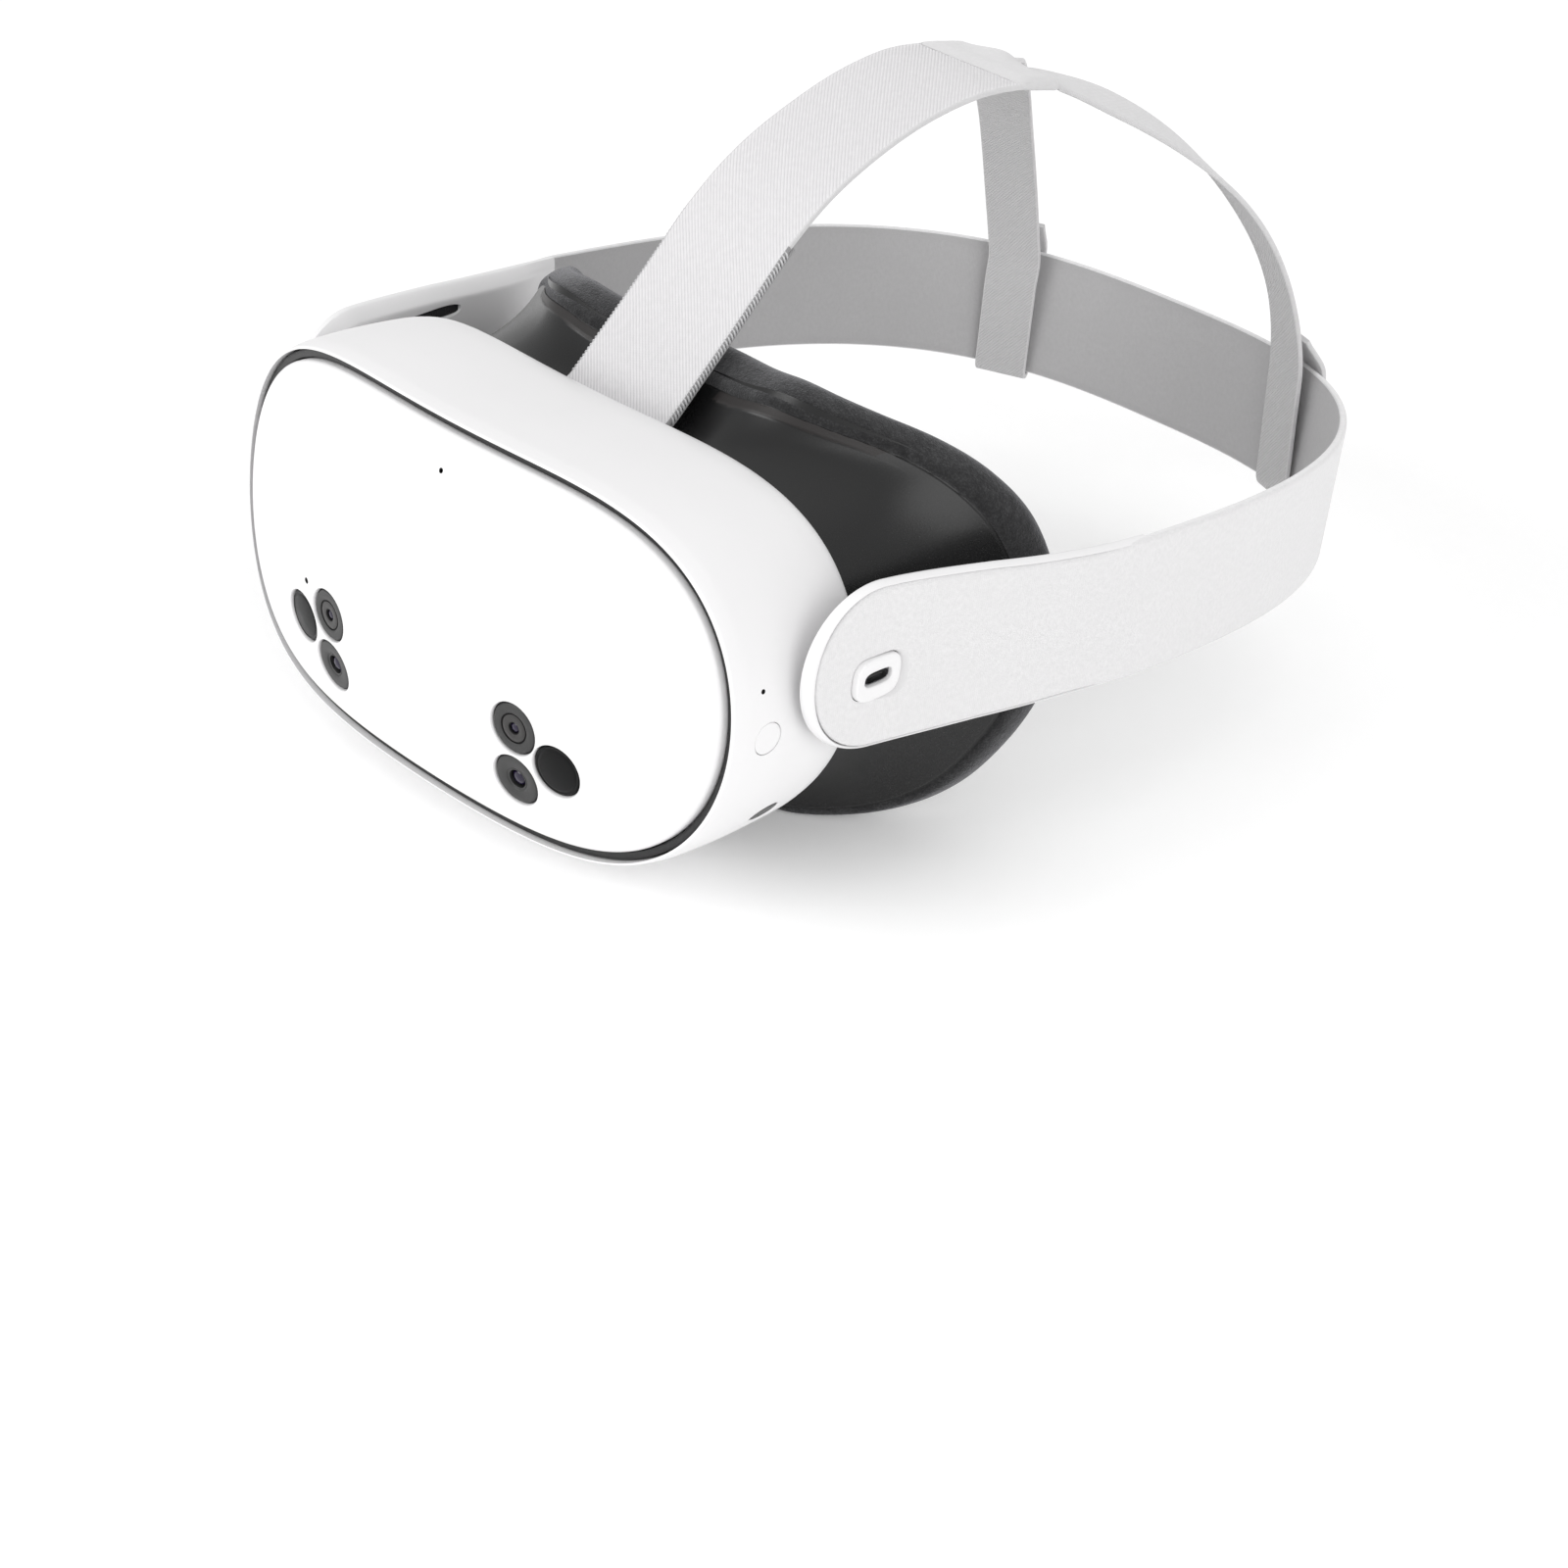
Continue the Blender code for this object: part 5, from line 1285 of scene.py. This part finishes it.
# overlock stitches closing the two layers along both edges of the foot
parts = []
seam = resample(catmull(FOOT, 24), 1400, False)
seam_s = np.concatenate([[0], np.cumsum(np.linalg.norm(np.diff(seam, axis=0), axis=1))])
sp, stt, sn = yz_frame(seam)
step = 1.15
for sx in (1, -1):
    for i in range(int((seam_s[-1] - 3.4) / step)):
        s0 = 2.0 + i * step
        k0, k1 = int(np.searchsorted(seam_s, s0)), int(min(len(seam) - 1, np.searchsorted(seam_s, s0 + 0.9)))
        a = np.array([sx * (STRAP_W / 2 - 0.02), *(sp[k0] + sn[k0] * -1.25)])
        b = np.array([sx * (STRAP_W / 2 + 0.04), *(sp[k1] + sn[k1] * 0.55)])
        c = np.array([sx * (STRAP_W / 2 - 0.75), *(sp[k1] + sn[k1] * 0.83)])
        parts.append(stitch(a, b, 0.27, (sx, 0, 0)))
        parts.append(stitch(b, c, 0.21, (0, *sn[k1])))
V, F = join_parts(*parts)
sewn = make("foot_overlock_stitches", V, F, THREAD, slot="ribbed_webbing", sharp=80)
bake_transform(sewn)

# bonded patch over the split
patch_line = resample(catmull([(180.6, 113.5), (184.0, 113.15), (188, 112.55), (192, 112.0), (196.5, 111.3), (199.4, 110.8)], 16), 110, False)
pp, pt, pn = yz_frame(patch_line)
centres = np.stack([np.zeros(len(pp)), pp[:, 0], pp[:, 1]], -1)
through = np.stack([np.zeros(len(pp)), pn[:, 0], pn[:, 1]], -1)
across = np.repeat(np.array([[1.0, 0, 0]]), len(pp), 0)


def patch_lift(s, total, a, b):
    ends = smooth(s / 6.0) * smooth((total - s) / 3.2)
    side = smooth((STRAP_W / 2 + 0.4 - np.abs(a)) / 3.0)
    top = 1.05 * ends * (0.25 + 0.75 * side)
    hump = 1.9 * np.exp(-((a + 1.0) / np.where(a < -1.0, 9.0, 5.2)) ** 2) * smooth((s - 0.45 * total) / (0.4 * total)) * (1 - 0.5 * smooth((s - 0.9 * total) / (0.1 * total)))
    return np.where(b > 0, top + hump, -0.25 * ends + 0.8 * hump) - 0.026 * a


make_patch = sweep("split_patch_cover", centres, across, through, STRAP_W + 0.7, 1.85, [BONDED, WEB_INNER, WEB_EDGE], cols=48, body="strap_assembly",
                   stands=("split_patch",), edge=0.7, lift=patch_lift,
                   width_of=lambda f: 1.0 - 0.05 * (1 - smooth(f / 0.12)) - 0.07 * (1 - smooth((1 - f) / 0.14)))

# rear legs: each runs down inside the band, folds under it, comes up outside
# and is sewn to itself above the band's top edge
LEG_W, LEG_T, LOOP_X = 17.2, 1.5, 57.0
LEG = ((10.06, 201.0, 110.1), (15.2, 212.2, 107.2), (56.3, 266.3, 91.2), (54.0, 284.2, 20.6))
for tag, sx in (("left", 1), ("right", -1)):
    ctrl = [np.array((sx * x, y, z)) for x, y, z in LEG]
    tt = np.linspace(0, 1, 200)[:, None]
    bez = ctrl[0] * (1 - tt) ** 3 + 3 * ctrl[1] * tt * (1 - tt) ** 2 + 3 * ctrl[2] * tt ** 2 * (1 - tt) + ctrl[3] * tt ** 3
    start = np.array((sx * 9.45, 192.6, 111.35))
    head = np.array([start * (1 - f) + bez[0] * f for f in np.linspace(0, 1, 20)[:-1]])
    kq = int(np.argmin(np.abs(curve[:, 0] - sx * LOOP_X)))
    Q = np.array([curve[kq, 0], curve[kq, 1], 0.0])
    NN = np.array([curve_n[kq, 0], curve_n[kq, 1], 0.0])
    zc = float(band_z(Q[1]))
    loop_pts = [(-6.7, 10.0), (-5.9, 0.0), (-5.1, -9.0), (-4.6, -16.0), (-4.3, -19.8)]
    for a in np.linspace(180, 360, 13)[1:-1]:
        loop_pts.append((-1.57 + 2.73 * math.cos(math.radians(a)), -20.4 + 2.6 * math.sin(math.radians(a))))
    loop_pts += [(1.16, -19.8), (1.16, -8.0), (1.16, 4.0), (1.16, 14.0), (1.12, 19.2), (0.4, 22.0), (-1.6, 24.6), (-4.0, 27.2), (-6.0, 29.4), (-7.4, 31.2)]
    low = np.array([Q + NN * n + np.array([0, 0, zc + z]) for n, z in loop_pts])
    whole = np.concatenate([head, bez, low])
    path = resample(whole, 900, False)
    kern = np.hanning(33)
    kern /= kern.sum()
    soft = path.copy()
    for c in range(3):
        soft[16:-16, c] = np.convolve(path[:, c], kern, "valid")
    path = resample(soft, 560, False)
    tang = np.gradient(path, axis=0)
    tang /= np.linalg.norm(tang, axis=1)[:, None]
    s = np.concatenate([[0], np.cumsum(np.linalg.norm(np.diff(path, axis=0), axis=1))])
    s_head = float(np.linalg.norm(head[-1] - head[0]))
    s_end = s_head + float(np.linalg.norm(np.diff(bez, axis=0), axis=1).sum())
    top_n = np.array((0.0, 0.05, 1.0))
    mid_n = np.array((sx * 0.35, 0.28, 0.89))
    low_n = np.array((sx * 0.42, 0.90, 0.0))
    last = np.array((NN[1], -NN[0], 0.0))
    ac = []
    for k in range(len(path)):
        t = (s[k] - s_head) / (s_end - s_head)
        g, e = float(smooth((t - 0.18) / 0.48)), float(smooth(t / 0.18))
        n = (top_n * (1 - e) + mid_n * e) * (1 - g) + low_n * g
        w = np.cross(tang[k], n)
        w /= np.linalg.norm(w)
        h = float(smooth((t - 0.80) / 0.20))
        flat = last * (1 if np.dot(last, w) > 0 or not ac else -1)
        if ac and t > 0.8:
            flat = last * (1 if np.dot(last, ac[-1]) > 0 else -1)
        w = w * (1 - h) + flat * h
        w = w - tang[k] * np.dot(w, tang[k])
        ac.append(w / np.linalg.norm(w))
    ac = np.array(ac)
    th = np.cross(ac, tang)
    sweep("rear_leg_" + tag, path, ac, th, LEG_W, LEG_T, [WEB_FINE, WEB_LOOP, WEB_EDGE], cols=40, body="strap_assembly",
          stands=("strap_leg_" + tag, "band_loop_" + tag), edge=0.5)


# ================================================================== lens optics
for tag, sx in (("left", 1), ("right", -1)):
    c = (sx * 31.5, 0, 0)
    prof = [(20.0, 28.2), (22.9, 28.2), (22.95, 44.4)] + [(22.62 + 0.33 * math.cos(math.radians(a)), 44.75 + 0.40 * math.sin(math.radians(a))) for a in range(0, 91, 15)]
    prof += [(22.2, 45.15), (21.9, 45.0), (21.75, 44.7), (21.5, 44.55), (21.25, 44.2), (21.05, 43.2), (21.0, 36.3), (20.0, 36.3)]
    V, F = turned(prof, c, (0, 1, 0), 128, closed=True)
    make("lens_barrel_ring_" + tag, V, F, BARREL, "lens_carriage_" + tag, stands=("lens_barrel_" + tag,), slot="dark_satin", sharp=45)
    lens = [(0, 36.7), (20.5, 37.4), (20.5, 40.4)]
    for k in range(15):
        r = 20.3 * (1 - k / 14)
        lens.append((r, 40.9 + 4.15 * (1 - (r / 20.6) ** 2)))
    make("eye_lens_glass_" + tag, *turned(lens, c, (0, 1, 0), 128), EYE_GLASS, "lens_carriage_" + tag, stands=("eye_lens_" + tag,), slot="lens_glass", sharp=50)

# bay cover: a textured moulding dished round each lens
bay = outline(84, 44, 43, 240)
rings = []
for s, y in ((1.0, 46.0), (1.0, 47.1), (0.995, 47.35), (0.985, 47.4), (0.8, 47.4), (0.5, 47.4), (0.2, 47.4), (0.0, 47.4)):
    rings.append(np.stack([bay[:, 0] * s, np.full(240, y), bay[:, 1] * s], -1))
rings.append(np.repeat(np.array([[[0, 46.0, 0]]]), 240, 1)[0])
V, F = skin(rings, caps=False)
F = F + [[i, (i + 1) % 240, 8 * 240 + (i + 1) % 240, 8 * 240 + i] for i in range(240)]
cover = make("lens_bay_moulding", V, F, BAY, stands=("lens_bay_cover",), slot="dark_satin")
tools = []
for sx in (1, -1):
    tools.append((turned([(0, 40), (26.0, 40), (26.0, 46.6), (26.2, 46.95), (26.7, 47.3), (27.3, 47.5), (27.3, 52), (0, 52)], (sx * 31.5, 0, 0), (0, 1, 0), 128), BAY))
for x, z in ((60, 30), (-60, 30), (60, -30), (-60, -30)):
    tools.append((turned([(0, 44), (1.8, 44), (1.8, 47.1), (2.9, 47.15), (2.9, 50), (0, 50)], (x, 0, z), (0, 1, 0), 48), BAY))
cut(cover, tools, 40)
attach(cover, "visor")

# ============================================================ carried CAD nodes
FINISH = {
    "battery_pack": CELL, "heat_spreader": ALU, "mainboard": BOARD, "fan_housing": BARREL, "fan_rotor": BARREL,
    "display_panel": PANEL, "display_frame": BAY, "ipd_rail_upper": STEEL, "ipd_rail_lower": STEEL,
    "cover_screw_1": STEEL, "cover_screw_2": STEEL, "cover_screw_3": STEEL, "cover_screw_4": STEEL,
    "speaker_left": GRILLE, "speaker_right": GRILLE, "pivot_pin_left": STEEL, "pivot_pin_right": STEEL,
    "port_tongue": PORT_DARK, "strap_anchor_bar": BARREL,
}
for node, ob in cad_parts.items():
    if ob.hide_render:
        continue
    m = FINISH.get(node, BARREL)
    for i in range(max(1, len(ob.material_slots))):
        if not ob.material_slots:
            ob.data.materials.append(m)
        ob.material_slots[i].material = m

# ========================================================== floor, light, camera
low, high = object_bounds()
floor_z = low.z - 0.0001
mesh = bpy.data.meshes.new("floor")
S = 60.0
mesh.from_pydata([(-S, -S, floor_z), (S, -S, floor_z), (S, S, floor_z), (-S, S, floor_z)], [], [(0, 1, 2, 3)])
floor = bpy.data.objects.new("floor", mesh)
bpy.context.scene.collection.objects.link(floor)
f = Finish("floor_paper")
grain = f.noise(f.space(), 400.0, 3.0)
f.put(color=f.mix(f.remap(grain, 0.3, 0.7, 0.0, 1.0), (0.90, 0.90, 0.90), (0.92, 0.92, 0.92)), rough=0.9, normal=f.bump(grain, 0.00002), spec=0.1)
f.b.inputs["Emission Color"].default_value = (1.0, 1.0, 1.0, 1.0)
f.b.inputs["Emission Strength"].default_value = 0.15
floor.data.materials.append(f.m)
floor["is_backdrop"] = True

world = bpy.data.worlds.new("studio")
bpy.context.scene.world = world
world.use_nodes = True
bg = world.node_tree.nodes["Background"]
bg.inputs["Color"].default_value = (1.0, 1.0, 1.0, 1.0)
bg.inputs["Strength"].default_value = 0.77


def area(name, place, aim, size, power, color=(1, 1, 1)):
    d = bpy.data.lights.new(name, "AREA")
    d.shape = "RECTANGLE"
    d.size, d.size_y = size
    d.energy = power
    d.color = color
    o = bpy.data.objects.new(name, d)
    bpy.context.scene.collection.objects.link(o)
    o.location = place
    o.rotation_mode = "QUATERNION"
    o.rotation_quaternion = (Vector(aim) - Vector(place)).to_track_quat("-Z", "Y")
    return o


area("key", (-0.45, -1.35, 0.65), (0, 0.05, 0.05), (1.1, 0.9), 12.0)
area("fill", (1.3, -0.35, 0.7), (0, 0.1, 0.04), (1.0, 1.0), 6.3)
area("top", (0.1, 0.35, 1.5), (0, 0.1, 0.05), (1.4, 1.4), 1.0)
area("back", (-0.4, 1.5, 0.8), (0, 0.15, 0.05), (1.2, 0.8), 1.5)

cam = bpy.data.cameras.new("photo_view")
cam.sensor_fit = "HORIZONTAL"
cam.sensor_width = 36.0
cam.lens = 66.5167
cam.clip_start, cam.clip_end = 0.01, 20.0
camera = bpy.data.objects.new("photo_view", cam)
bpy.context.scene.collection.objects.link(camera)
camera.matrix_world = Matrix(((0.71071458, -0.41584979, 0.56740967, 0.49391943),
                              (0.69647340, 0.30238330, -0.65076044, -0.44721530),
                              (0.09904338, 0.85769067, 0.50453654, 0.38873158),
                              (0, 0, 0, 1)))
bpy.context.scene.camera = camera
bpy.context.scene.view_settings.view_transform = "Standard"
bpy.context.scene.view_settings.look = "None"
bpy.context.scene.view_settings.exposure = 0.0

low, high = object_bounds()
